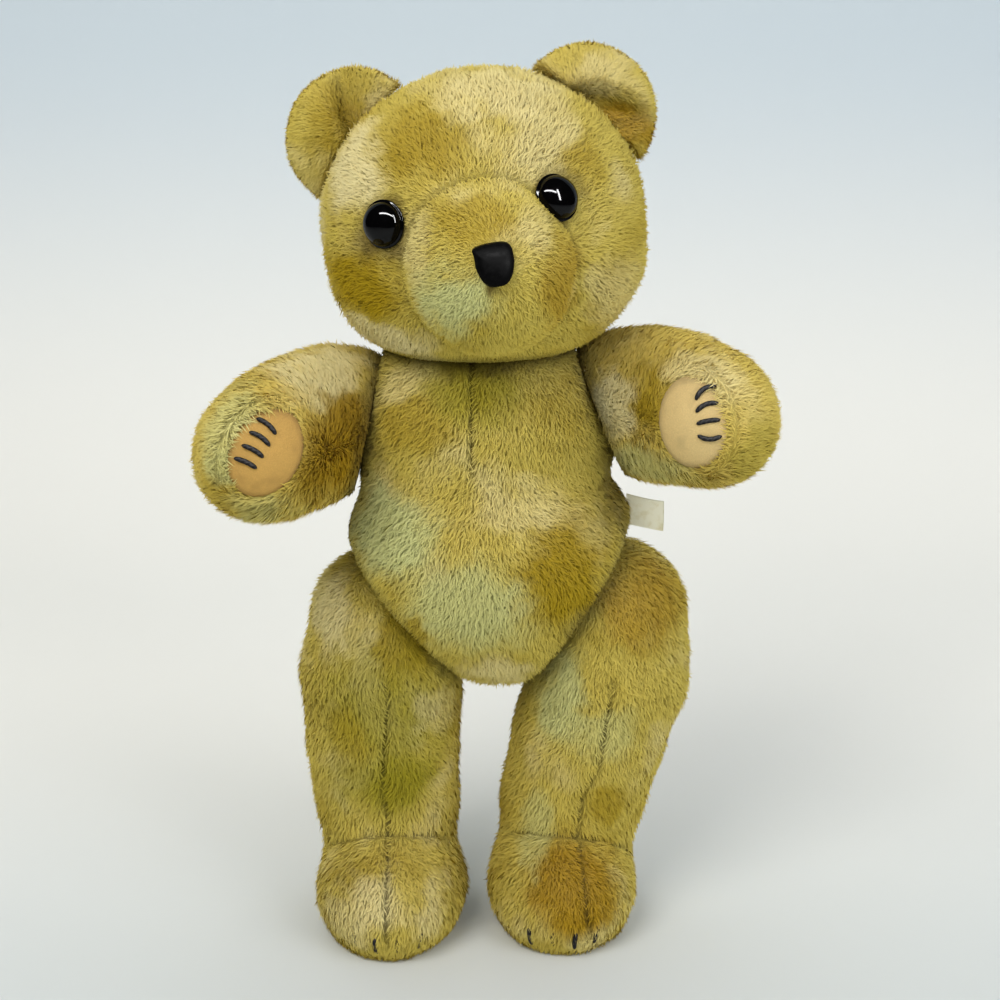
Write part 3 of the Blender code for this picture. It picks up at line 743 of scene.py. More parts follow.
@dataclass
class Body:
    """A filled body of the bear: a padded cover with its fur.

    Subclasses hold the sizes and say where the seams run and how the fur lies.
    """

    name: str = ""
    carrier: str = ""
    rings: int = 70
    segments: int = 90
    cap: float = 3.0
    form: Form = field(init=False)
    coat: Coat = field(init=False)
    finish: Plush = field(init=False)

    def seams(self) -> list[Seam]:
        """The sewn lines of this body."""
        return []

    def lay(self, points: Array, ways: Array) -> Array:
        """The way the fur is combed, before it is laid on the surface."""
        return np.broadcast_to(np.array([0.0, 0.0, -1.0]), points.shape)

    def bare(self, points: Array, ways: Array) -> Array:
        """How much fur grows at each point, from 0 for none to 1."""
        return everywhere(points)

    def hollow(self, points: Array, ways: Array) -> Array:
        """How far the cover is set in at each point, in millimetres."""
        return np.zeros(len(points))

    def joined(self, points: Array) -> Array:
        """How near each point lies to a joint's seat, from 0 to 1: there the fur is pressed shorter and
        darkened with painted shade.
        """
        near = np.zeros(len(points))
        for (point, normal), gap in self.form.seats:
            if gap > 0.0:
                near = np.maximum(near, bell((points - np.array(point)) @ unit(normal) + gap, 5.0))
        return near * 0.85

    def pinned(self, points: Array) -> Array:
        """Which points the filling can't push out: the seats, the seams and the pads."""
        held = np.zeros(len(points), bool)
        for (point, normal), gap in self.form.seats:
            held |= (points - np.array(point)) @ unit(normal) + gap > -2.5
        for seam in self.seams():
            held |= seam.share(points, 1.3) > 0.5
        return held | (self.hollow(points, slope(self.form.shape, points)) > 0.3)

    def swollen(self) -> bpy.types.Object:
        """The cover, filled: an even mesh of the form set in a little, then pushed out as cloth.

        The seats, seams and pads are pinned, and no point moves further than the cap.
        """
        points, faces = self.form.shell(self.rings, self.segments, 1.0)
        rough = make_object(self.name + "_draft", points, faces)
        remesh = rough.modifiers.new("even", "REMESH")
        remesh.mode = "VOXEL"
        remesh.voxel_size = 5.4 * MM
        graph = bpy.context.evaluated_depsgraph_get()
        mesh = bpy.data.meshes.new_from_object(rough.evaluated_get(graph))
        bpy.data.objects.remove(rough)
        even = bpy.data.objects.new(self.name + "_draft", mesh)
        bpy.context.scene.collection.objects.link(even)
        points, _ = read_mesh(mesh)
        away = slope(self.form.shape, points)
        points = points - away * (self.form.shape(points) + 1.0)[:, None] * 0.999
        mesh.vertices.foreach_set("co", to_frame(self.pressed(points)).astype(np.float32).ravel())
        points = self.simulated(even, points)
        even.modifiers.clear()
        even.vertex_groups.clear()
        mesh.vertices.foreach_set("co", to_frame(self.pressed(points)).astype(np.float32).ravel())
        finer = even.modifiers.new("finer", "SUBSURF")
        finer.levels = finer.render_levels = 1
        graph = bpy.context.evaluated_depsgraph_get()
        final = bpy.data.meshes.new_from_object(even.evaluated_get(graph))
        bpy.data.objects.remove(even)
        obj = bpy.data.objects.new(self.name + "_plush", final)
        bpy.context.scene.collection.objects.link(obj)
        return obj

    def simulated(self, obj: bpy.types.Object, points: Array) -> Array:
        """Where the cover's points come to rest under the filling's pressure."""
        group = obj.vertex_groups.new(name="pins")
        group.add(np.flatnonzero(self.pinned(points)).tolist(), 1.0, "REPLACE")
        cloth = obj.modifiers.new("filled", "CLOTH")
        settings = cloth.settings
        settings.quality = 5
        settings.vertex_group_mass = "pins"
        settings.use_pressure = True
        settings.uniform_pressure_force = 4.0
        settings.effector_weights.gravity = 0.0
        settings.tension_stiffness = 25.0
        settings.compression_stiffness = 25.0
        cloth.collision_settings.use_collision = False
        cloth.point_cache.frame_start, cloth.point_cache.frame_end = 1, 20
        scene = bpy.context.scene
        for step in range(1, 21):
            scene.frame_set(step)
        graph = bpy.context.evaluated_depsgraph_get()
        settled, _ = read_mesh(obj.evaluated_get(graph).to_mesh())
        scene.frame_set(1)
        moved = settled - points
        far = np.linalg.norm(moved, axis=1, keepdims=True)
        return points + moved * np.minimum(1.0, self.cap / np.maximum(far, 1e-6))

    def pressed(self, points: Array) -> Array:
        """The points, with any that cross a seat laid on it."""
        for (point, normal), gap in self.form.seats:
            way = unit(normal)
            over = (points - np.array(point)) @ way + gap
            points = points - way * np.maximum(over, 0.0)[:, None]
        return points

    def cover(self) -> bpy.types.Object:
        """The padded cover with its seams drawn in, standing for the cover and filling solids."""
        obj = self.swollen()
        points, triangles = read_mesh(obj.data)
        ways = corner_normals(points, triangles)
        deep = self.hollow(points, ways)
        # The seam value darkens the finish: painted shade at the joints' seats and along the sewn seams.
        seam = self.joined(points)
        for line in self.seams():
            deep = deep + line.depth * line.share(points)
            seam = np.maximum(seam, line.share(points, 1.4))
        lumps = 0.35 * noise(points, 17.0, self.coat.salt) + 0.2 * noise(points, 7.0, self.coat.salt + 9)
        points = self.pressed(points - ways * (deep - lumps)[:, None])
        obj.data.vertices.foreach_set("co", to_frame(points).astype(np.float32).ravel())
        obj.data.polygons.foreach_set("use_smooth", np.ones(len(obj.data.polygons), bool))
        set_values(obj, "seam", seam)
        obj.data.update()
        obj.data.materials.append(self.finish.skin())
        self.skin = (points, triangles, corner_normals(points, triangles))
        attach(obj, self.name)
        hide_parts(self.name + "_cover", self.name + "_filling")
        return obj

    def room(self, points: Array, shapes: list[Field], gap: float) -> Array:
        """The points, with any that lie in a neighbour moved out of it along its slope."""
        for shape in shapes:
            over = gap - shape(points)
            inside = np.flatnonzero(over > 0.0)
            if len(inside):
                way = slope(shape, points[inside])
                points[inside] += way * np.minimum(over[inside], 14.0)[:, None]
        return points

    def fur(self, near: list[Field]) -> bpy.types.Object:
        """The fur: blades of two triangles, wide in the middle and bent there.

        Formula: a blade starts under the skin, rises at the lift angle along the lay, bends down
        over its second half, and its tip is drawn towards the middle of its tuft.

        Args:
            near: fields of the bodies that the fur must stay out of.

        Returns:
            The fur's object.
        """
        coat = self.coat
        rng = np.random.default_rng(coat.salt)
        points, triangles, normals = self.skin
        corners = points[triangles]
        area = np.linalg.norm(np.cross(corners[:, 1] - corners[:, 0], corners[:, 2] - corners[:, 0]), axis=1)
        middle = corners.mean(axis=1)
        growth = self.bare(middle, unit(normals[triangles].sum(axis=1)))
        weight = np.cumsum(area * (growth > 0.05))
        picks = np.searchsorted(weight / weight[-1], (np.arange(coat.strands) + 0.5) / coat.strands)
        share = rng.random((2, coat.strands))
        share = np.where(share.sum(axis=0) > 1.0, 1.0 - share, share)
        share = np.stack([1.0 - share.sum(axis=0), share[0], share[1]], axis=-1)[..., None]
        root = (corners[picks] * share).sum(axis=1)
        way = unit((normals[triangles[picks]] * share).sum(axis=1))
        growth = self.bare(root, way)
        # Near the joints and seams the fur grows shorter, and the seam value darkens it with painted shade.
        seam = self.joined(root)
        for line in self.seams():
            seam = np.maximum(seam, line.share(root, 1.0))
        lay = self.lay(root, way)
        lay = unit(lay - way * (lay * way).sum(axis=1, keepdims=True))
        centre, number = tuft(root, coat.tufts, coat.salt)
        turn = coat.swirl * (noise(centre, 26.0, coat.salt + 20) * 1.6 + (number - 0.5) * 0.9)
        turn = turn + rng.normal(0.0, 0.42, len(root))
        lay = lay * np.cos(turn)[:, None] + np.cross(way, lay) * np.sin(turn)[:, None]
        lift = coat.lift + 10.0 * noise(centre, 11.0, coat.salt + 30) + rng.normal(0, 9, len(root))
        lift = np.clip(np.radians(lift), 0.14, 1.35)
        length = coat.length * growth * (1.0 - 0.65 * seam) * rng.uniform(0.7, 1.15, len(root))
        length *= 1.0 + 0.18 * noise(centre, 15.0, coat.salt + 40)
        first = lay * np.cos(lift)[:, None] + way * np.sin(lift)[:, None]
        second = unit(first + lay * 0.55 - way * 0.12 + np.array([0.0, 0.0, -0.12]))
        draw = centre - root
        draw = (draw - way * (draw * way).sum(axis=1, keepdims=True)) * coat.gather
        root = root - way * 0.4
        bend = root + first * (length * 0.55)[:, None] + draw * 0.35
        tip = bend + second * (length * 0.5)[:, None] + draw * 0.65
        bend, tip = self.room(bend, near, 0.3), self.room(tip, near, 0.3)
        bend[:, 2], tip[:, 2] = np.maximum(bend[:, 2], 0.4), np.maximum(tip[:, 2], 0.2)
        line = unit(tip - root)
        side = unit(np.cross(line, way))
        roll = rng.normal(0.0, 0.5, len(root))[:, None]
        side = side * np.cos(roll) + np.cross(line, side) * np.sin(roll)
        half = side * (coat.width * 0.5 * rng.uniform(0.7, 1.3, len(root)))[:, None]
        made = np.stack([root, bend + half, bend - half, tip], axis=1).reshape(-1, 3)
        base = np.arange(len(root))[:, None] * 4
        faces = np.hstack([base, base + 1, base + 2, base + 3, base + 2, base + 1]).reshape(-1, 3)
        obj = make_object(self.name + "_fur", made, faces)
        set_values(obj, "tip", np.tile([0.0, 0.55, 0.55, 1.0], len(root)))
        tone = 0.5 + 0.25 * rng.normal(size=len(root)) + 0.3 * (number - 0.5)
        set_values(obj, "tone", np.repeat(np.clip(tone, 0, 1), 4))
        set_values(obj, "seam", np.repeat(seam, 4))
        out = np.repeat(way, 4, axis=0) * 0.9 + np.repeat(np.cross(side, line), 4, axis=0) * 0.2
        out[3::4] += line * 0.25
        obj.data.normals_split_custom_set_from_vertices(unit(out).tolist())
        bake_map(obj, len(root))
        obj.data.materials.append(self.finish.fur())
        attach(obj, self.carrier or self.name)
        return obj


def bake_map(obj: bpy.types.Object, strands: int) -> None:
    """Gives each strand of a fur its own square of a map, so that none overlaps another."""
    columns = math.ceil(math.sqrt(strands))
    cell = np.arange(strands)
    corner = np.stack([cell % columns, cell // columns], axis=-1)[:, None, :]
    places = np.array([(0.5, 0.04), (0.96, 0.5), (0.04, 0.5), (0.5, 0.96), (0.04, 0.5), (0.96, 0.5)])
    layer = obj.data.uv_layers.new(name="OFBake")
    layer.uv.foreach_set("vector", ((corner + places) / columns).astype(np.float32).ravel())


@dataclass
class Torso(Body):
    """The torso: belly, chest, shoulders and the narrow end between the legs."""

    name: str = "torso"
    rings: int = 80
    segments: int = 110
    belly: Lump = Lump((0.0, 0.0, 197.0), (73.0, 60.0, 62.0))
    chest: Lump = Lump((-5.0, 2.0, 258.0), (61.0, 48.0, 66.0))
    seat: Lump = Lump((6.0, -1.0, 166.0), (48.0, 44.0, 36.0))
    shoulders: Lump = Lump((-3.0, 3.0, 266.0), (74.0, 38.0, 42.0))

    def __post_init__(self) -> None:
        """Sets the form, the coat and the finish."""
        seats = [(plane, SEAT_GAP) for plane in SEATS.values()]
        self.form = Form(self.shape, seats, (0.0, 0.0, 212.0), (1.0, 0.9, 1.15))
        self.coat = Coat(strands=82000, salt=11)
        self.finish = Plush("torso", Tone.BEIGE, TORSO_PATCHES)

    def shape(self, points: Array) -> Array:
        """Distance from the four lumps, run together."""
        far = self.belly.distance(points)
        for lump in (self.chest, self.seat, self.shoulders):
            far = least(far, lump.distance(points), 12.0)
        return far

    def seams(self) -> list[Seam]:
        """The short dart down the chest, and the closing seam down the back."""
        return [
            Seam(
                lambda p: p[..., 0] + 8.5 - 0.02 * (300.0 - p[..., 2]),
                lambda p: ramp(p[..., 2], 243.0, 253.0) * (p[..., 1] < 0),
                1.8, 1.6,
            ),
            Seam(
                lambda p: p[..., 0] + 1.0,
                lambda p: ramp(p[..., 1], 0.0, 10.0) * (p[..., 2] > 150.0),
                1.6,
                1.8,
            ),
        ]

    def lay(self, points: Array, ways: Array) -> Array:
        """Down, and outwards from the middle."""
        down = np.zeros_like(points)
        down[:, 2] = -1.0
        down[:, 0] = points[:, 0] / 90.0
        return down


@dataclass
class Head(Body):
    """The head: skull, full cheeks, the muzzle panel and the snout at its end."""

    name: str = "head"
    rings: int = 90
    segments: int = 110
    centre: tuple[float, float, float] = (-3.0, 0.0, 360.0)
    roll: float = 9.0
    skull: Lump = Lump((0.0, 0.0, 3.0), (76.0, 64.0, 69.0))
    jaw: Lump = Lump((0.0, -4.0, -22.0), (70.0, 58.0, 48.0))
    muzzle: Lump = Lump((1.5, -58.0, -12.5), (38.0, 34.0, 40.0))
    snout: Lump = Lump((7.0, -72.0, -14.0), (25.0, 24.0, 24.0))
    nose_at: tuple[float, float] = (5.0, -6.0)
    nose_half: tuple[float, float] = (8.4, 9.2)
    eye_spots: tuple[tuple[float, float], tuple[float, float]] = ((-43.0, 13.0), (36.0, 13.0))
    eye_radius: float = 11.0

    def __post_init__(self) -> None:
        """Sets the form, the coat and the finish."""
        seats = [(flipped(SEATS["neck"]), SEAT_GAP)]
        angle = math.radians(self.roll)
        c, s = math.cos(angle), math.sin(angle)
        self.turn = np.array([[c, 0.0, -s], [0.0, 1.0, 0.0], [s, 0.0, c]])
        self.form = Form(self.shape, seats, (-3.0, -6.0, 358.0), (1.0, 1.0, 1.0), (0.0, -1.0, 0.0))
        self.coat = Coat(strands=80000, length=6.2, salt=31)
        self.finish = Plush("head", Tone.BEIGE, HEAD_PATCHES)
        self.eyes = []
        for x, z in self.eye_spots:
            way = self.world(np.array([[0.0, 1.0, 0.0]])) - self.world(np.zeros((1, 3)))
            seat = self.form.meet(self.world(np.array([[x, -130.0, z]])), way[0])
            self.eyes.append((seat[0], slope(self.form.distance, seat, 0.5)[0]))

    def local(self, points: Array) -> Array:
        """Points in the head's own frame."""
        return (points - np.array(self.centre)) @ self.turn

    def world(self, points: Array) -> Array:
        """Points of the head's own frame in the drawing's frame."""
        return points @ self.turn.T + np.array(self.centre)

    def skull_shape(self, points: Array) -> Array:
        """Distance from the skull and cheeks without the muzzle."""
        local = self.local(points)
        return least(self.skull.distance(local), self.jaw.distance(local), 16.0)

    def shape(self, points: Array) -> Array:
        """Distance from the head."""
        local = self.local(points)
        far = least(self.skull_shape(points), self.muzzle.distance(local), 7.0)
        return least(far, self.snout.distance(local), 9.0)

    def seams(self) -> list[Seam]:
        """The round seam of the muzzle panel, and the seam over the top of the head to the back."""
        def panel(points: Array) -> Array:
            """Difference of the distances from the skull and from the muzzle."""
            return self.skull_shape(points) - self.muzzle.distance(self.local(points)) - 1.5

        def back(points: Array) -> Array:
            """Distance from the middle plane of the head."""
            return self.local(points)[..., 0]

        return [
            Seam(panel, lambda p: 1.0 * (p[..., 1] < -20.0), 1.5, 1.5),
            Seam(back, lambda p: ramp(p[..., 1], 5.0, 15.0), 1.5, 1.8),
        ]

    def lay(self, points: Array, ways: Array) -> Array:
        """Away from the nose, and downwards on the cheeks."""
        local = self.local(points)
        nose = np.array([self.nose_at[0], -96.0, self.nose_at[1]])
        out = unit(local - nose)
        out[:, 2] -= 0.45 * ramp(-local[:, 2], -10.0, 40.0) * ramp(local[:, 1], -60.0, -30.0)
        return out @ self.turn.T

    def hollow(self, points: Array, ways: Array) -> Array:
        """The cover dips under the eyes."""
        deep = np.zeros(len(points))
        for seat, _ in self.eyes:
            deep += 2.2 * bell(np.linalg.norm(points - seat, axis=1), self.eye_radius * 0.95)
        return deep

    def bare(self, points: Array, ways: Array) -> Array:
        """No fur under the eyes or the nose, short fur about them and on the muzzle."""
        growth = np.ones(len(points))
        for seat, _ in self.eyes:
            far = np.linalg.norm(points - seat, axis=1)
            growth *= np.where(far < self.eye_radius * 0.9, 0.0, 0.45 + 0.55 * ramp(far, 11.0, 22.0))
        local = self.local(points)
        across_nose = np.maximum(
            np.abs(local[:, 0] - self.nose_at[0]) / self.nose_half[0],
            np.abs(local[:, 2] - self.nose_at[1]) / self.nose_half[1],
        )
        front = local[:, 1] < -80.0
        about_nose = np.where(across_nose < 0.8, 0.0, 0.6 + 0.4 * ramp(across_nose, 0.9, 2.6))
        growth *= np.where(front, about_nose, 1.0)
        growth *= 1.0 - 0.25 * ramp(-self.muzzle.distance(local), -6.0, 2.0)
        above = (points - np.array(SEATS["neck"][0])) @ np.array(SEATS["neck"][1])
        growth *= 0.45 + 0.55 * ramp(above, 2.0, 16.0)
        return np.where(above < 0.6, 0.0, growth)


@dataclass
class Arm(Body):
    """An arm: a row of balls that bends forward, with a felt pad in its palm."""

    name: str = "arm_right"
    side: str = "right"
    rings: int = 60
    segments: int = 80
    balls: tuple[tuple[float, ...], ...] = (
        (-66, 4, 264, 33),
        (-84, -8, 262, 34),
        (-97, -32, 262, 32),
        (-103, -56, 262, 29),
        (-106, -64, 262, 27),
    )
    middle: tuple[float, float, float] = (-90.0, -20.0, 262.0)
    stretch: tuple[float, float, float] = (1.0, 1.2, 1.0)
    palm: tuple[tuple[float, float, float], ...] = (
        (-103.5, -66.0, 266.0), (0.20, -0.97, 0.12), (-0.85, 0.0, 0.53),
    )
    palm_half: tuple[float, float] = (15.8, 21.0)
    salt: int = 51

    def __post_init__(self) -> None:
        """Sets the form, the coat and the finish."""
        plane = SEATS[f"shoulder_{self.side}"]
        self.form = Form(self.shape, [(flipped(plane), SEAT_GAP)], self.middle, self.stretch, plane[1])
        self.coat = Coat(strands=46000, salt=self.salt)
        self.finish = Plush(self.name, Tone.GOLD, ARM_PATCHES[self.side])
        self.face = unit(self.palm[1])
        along = np.array(self.palm[2])
        self.along = unit(along - self.face * (along @ self.face))
        self.up = np.cross(self.face, self.along)

    def shape(self, points: Array) -> Array:
        """Distance from the row of balls."""
        return chain(points, self.balls)

    def on_pad(self, points: Array) -> tuple[Array, Array, Array]:
        """Where points lie on the pad: along it and up it as shares of its half sizes, and the radius."""
        offset = points - np.array(self.palm[0])
        along = offset @ self.along / self.palm_half[0]
        up = offset @ self.up / self.palm_half[1]
        radius = np.sqrt(along**2 + up**2)
        return along, up, np.where(offset @ self.face > -14.0, radius, 9.0)

    def hollow(self, points: Array, ways: Array) -> Array:
        """The cover goes under the pad."""
        _, _, radius = self.on_pad(points)
        return 3.2 * (1.0 - ramp(radius, 0.96, 1.12)) * (ways @ self.face > 0.1)

    def bare(self, points: Array, ways: Array) -> Array:
        """No fur on the pad or the seat."""
        along, _, radius = self.on_pad(points)
        growth = np.where(radius < 1.02, 0.0, 0.8 + 0.2 * ramp(radius, 1.0, 1.5))
        growth *= 1.0 + 0.6 * ramp(along, -0.3, 0.4) * (1.0 - ramp(radius, 1.10, 1.4))
        point, normal = SEATS[f"shoulder_{self.side}"]
        off = (points - np.array(point)) @ unit(normal)
        return np.where(off < 0.6, 0.0, growth)

    def lay(self, points: Array, ways: Array) -> Array:
        """Outwards from the shoulder, and over the far edge of the pad."""
        out = np.broadcast_to(unit(SEATS[f"shoulder_{self.side}"][1]), points.shape) * 0.9
        out = out + np.array([0.0, 0.30, -0.25])
        along, up, radius = self.on_pad(points)
        near = (ramp(along, -0.3, 0.4) * (1.0 - ramp(radius, 1.10, 1.35)))[:, None]
        inward = -self.along * along[:, None] - self.up * up[:, None]
        return out * (1.0 - near) + unit(inward) * near * 1.5


@dataclass
class Leg(Body):
    """A leg: a row of balls down to the ankle, and the foot."""

    name: str = "leg_right"
    side: str = "right"
    rings: int = 90
    segments: int = 80
    balls: tuple[tuple[float, ...], ...] = (
        (-53, 3, 158, 38), (-56, 3, 130, 38), (-56, 2, 95, 36), (-54, 2, 60, 34), (-53, 8, 35, 31),
    )
    foot: Lump = Lump((-51.0, -21.0, 20.0), (37.5, 51.0, 37.0))
    middle: tuple[float, float, float] = (-54.0, -8.0, 50.0)
    front: tuple[tuple[float, float], ...] = ((140.0, -51.0), (95.0, -53.5), (60.0, -51.5), (45.0, -51.0))
    salt: int = 71

    def __post_init__(self) -> None:
        """Sets the form, the coat and the finish."""
        seats = [(flipped(SEATS[f"hip_{self.side}"]), SEAT_GAP), (FLOOR, 0.0)]
        self.form = Form(self.shape, seats, self.middle, (1.0, 1.0, 1.15))
        self.coat = Coat(strands=66000, swirl=0.45, tufts=2.8, salt=self.salt)
        self.finish = Plush(self.name, Tone.BEIGE, LEG_PATCHES[self.side])

    def shape(self, points: Array) -> Array:
        """Distance from the leg and the foot, run together."""
        return least(chain(points, self.balls), self.foot.distance(points), 10.0)

    def seams(self) -> list[Seam]:
        """The seam down the front, the one down the back, and the crease of the ankle."""
        heights, places = np.array(self.front[::-1]).T

        def front(points: Array) -> Array:
            """Distance sideways from the front seam."""
            return points[..., 0] - np.interp(points[..., 2], heights, places)

        def above(points: Array) -> Array:
            """None of a seam at the ground, and all of it 20 mm up."""
            return ramp(points[..., 2], 8.0, 20.0)

        def ankle(points: Array) -> Array:
            """Difference of the distances from the leg and from the foot."""
            return chain(points, self.balls) - self.foot.distance(points)

        return [
            Seam(front, lambda p: (p[..., 1] < -5.0) * above(p) * ramp(-p[..., 2], -150.0, -130.0), 1.6, 1.7),
            Seam(front, lambda p: (p[..., 1] > 5.0) * above(p), 1.4, 1.7),
            Seam(ankle, lambda p: ramp(-p[..., 1], 14.0, 26.0), 1.8, 2.4),
        ]

    def bare(self, points: Array, ways: Array) -> Array:
        """No fur on the sole or the seat, and shorter fur where the foot turns under."""
        point, normal = SEATS[f"hip_{self.side}"]
        off = (points - np.array(point)) @ unit(normal)
        growth = 1.0 - 0.35 * ramp(-points[:, 2], -22.0, -6.0)
        return np.where((off < 0.6) | (points[:, 2] < 1.1), 0.0, growth)

    def lay(self, points: Array, ways: Array) -> Array:
        """Down the leg, and forward over the foot."""
        out = np.zeros_like(points)
        on_foot = ramp(-points[:, 2], -48.0, -30.0) * ramp(-points[:, 1], 0.0, 20.0)
        out[:, 2] = -1.0
        out[:, 1] = -1.0 * on_foot
        out[:, 0] = (points[:, 0] - self.foot.centre[0]) / 60.0 * (0.4 + on_foot)
        return out


ARM_LEFT = dict(
    name="arm_left",
    side="left",
    balls=((64, 4, 271, 35), (82, -6, 273, 34), (94, -22, 274, 31), (102, -40, 274, 29), (105, -50, 274, 27)),
    middle=(92.0, -16.0, 270.0),
    stretch=(1.0, 1.1, 1.0),
    palm=((95.0, -52.0, 276.0), (-0.15, -0.98, 0.10), (0.99, 0.0, 0.12)),
    salt=61,
)
LEG_LEFT = dict(
    name="leg_left",
    side="left",
    balls=((60, 3, 160, 40), (60, 3, 130, 38), (51, 2, 95, 36), (43, 2, 60, 34), (39, 6, 35, 32)),
    foot=Lump((37.0, -18.0, 20.0), (37.5, 48.0, 37.0)),
    middle=(42.0, -8.0, 50.0),
    front=((150.0, 62.0), (120.0, 58.0), (95.0, 55.0), (78.0, 46.0), (55.0, 43.5), (20.0, 49.0), (0.0, 50.0)),
    salt=81,
)

# Where the plush has faded and soiled, and where light and shade on the brushed pile is painted in as lighter
# and darker patches
TORSO_PATCHES = (
    # Darker olive on the top of the chest: painted shadow of the chin, and the darker brushed pile.
    Patch((-9.0, -45.0, 290.0), (34.0, 60.0, 30.0), Tone.OLIVE, 0.75),
    Patch((-36.0, -40.0, 268.0), (24.0, 60.0, 18.0), Tone.OCHRE, 0.6),
    Patch((-50.0, -40.0, 216.0), (34.0, 60.0, 28.0), Tone.PALE, 1.0),
    Patch((-10.0, -60.0, 184.0), (46.0, 60.0, 34.0), Tone.PALE, 0.8),
    Patch((36.0, -55.0, 200.0), (30.0, 60.0, 40.0), Tone.OCHRE, 1.0),
    Patch((14.0, -60.0, 232.0), (30.0, 60.0, 16.0), Tone.CREAM, 0.45),
    Patch((-36.0, -50.0, 166.0), (12.0, 60.0, 12.0), Tone.OCHRE, 0.7),
    Patch((4.0, -45.0, 146.0), (24.0, 60.0, 14.0), Tone.CREAM, 0.6),
    # The four dark patches below are painted shade: on the flanks under the arms, under the chin and by the
    # left hip.
    Patch((64.0, -25.0, 232.0), (18.0, 60.0, 34.0), Tone.SOIL, 0.6),
    Patch((-60.0, -25.0, 262.0), (10.0, 60.0, 36.0), Tone.SOIL, 0.4),
    Patch((0.0, -50.0, 304.0), (60.0, 60.0, 12.0), Tone.SOIL, 0.55),
    Patch((48.0, -25.0, 172.0), (14.0, 60.0, 20.0), Tone.SOIL, 0.35),
)
HEAD_PATCHES = (
    Patch((-64.0, -40.0, 392.0), (22.0, 60.0, 30.0), Tone.CREAM, 0.95),
    Patch((-30.0, -50.0, 402.0), (28.0, 60.0, 22.0), Tone.OCHRE, 0.8),
    Patch((4.0, -30.0, 422.0), (46.0, 60.0, 16.0), Tone.CREAM, 0.7),
    Patch((-62.0, -45.0, 338.0), (30.0, 60.0, 26.0), Tone.OCHRE, 1.0),
    Patch((-50.0, -40.0, 312.0), (36.0, 60.0, 10.0), Tone.CREAM, 0.8),
    Patch((-8.0, -84.0, 371.0), (28.0, 40.0, 15.0), Tone.OCHRE, 0.65),
    Patch((-16.0, -84.0, 336.0), (26.0, 40.0, 22.0), Tone.PALE, 0.95),
    Patch((31.0, -70.0, 344.0), (16.0, 40.0, 28.0), Tone.RUST, 0.7),
    Patch((60.0, -40.0, 330.0), (22.0, 60.0, 26.0), Tone.CREAM, 0.4),
    Patch((1.0, -96.0, 344.0), (6.0, 14.0, 8.0), Tone.SOIL, 0.85),
    Patch((24.0, -50.0, 402.0), (24.0, 60.0, 22.0), Tone.CREAM, 0.6),
    Patch((44.0, -50.0, 392.0), (12.0, 60.0, 12.0), Tone.OCHRE, 0.55),
    Patch((-49.0, -55.0, 363.0), (19.5, 30.0, 20.0), Tone.SOIL, 0.85),
    Patch((33.0, -55.0, 379.0), (17.0, 30.0, 18.0), Tone.SOIL, 0.6),
)
EAR_PATCHES = {
    "right": (
        Patch((-72.0, 4.0, 396.0), (20.0, 30.0, 30.0), Tone.OCHRE, 0.8),
        Patch((-52.0, 4.0, 414.0), (14.0, 30.0, 16.0), Tone.CREAM, 0.5),
    ),
    "left": (
        Patch((50.0, 4.0, 428.0), (24.0, 30.0, 14.0), Tone.CREAM, 0.5),
        Patch((64.0, 4.0, 406.0), (26.0, 30.0, 16.0), Tone.RUST, 0.9),
    ),
}
ARM_PATCHES = {
    "right": (
        Patch((-73.0, -48.0, 262.0), (31.0, 70.0, 38.0), Tone.RUST, 1.0),
        Patch((-80.0, -30.0, 294.0), (34.0, 60.0, 14.0), Tone.CREAM, 0.9),
        Patch((-112.0, -80.0, 280.0), (26.0, 60.0, 18.0), Tone.PALE, 0.6),
        Patch((-116.0, -80.0, 262.0), (18.0, 60.0, 16.0), Tone.PALE, 0.7),
        Patch((-104.0, -60.0, 240.0), (24.0, 60.0, 10.0), Tone.PALE, 0.5),
    ),
    "left": (
        Patch((58.0, -40.0, 280.0), (12.0, 60.0, 20.0), Tone.CREAM, 1.0),
        Patch((76.0, -40.0, 284.0), (15.0, 60.0, 22.0), Tone.OCHRE, 0.85),
        Patch((76.0, -40.0, 252.0), (26.0, 60.0, 16.0), Tone.PALE, 0.6),
        Patch((96.0, -60.0, 298.0), (26.0, 60.0, 12.0), Tone.CREAM, 0.6),
        Patch((124.0, -60.0, 262.0), (18.0, 60.0, 26.0), Tone.OLIVE, 0.35),
    ),
}
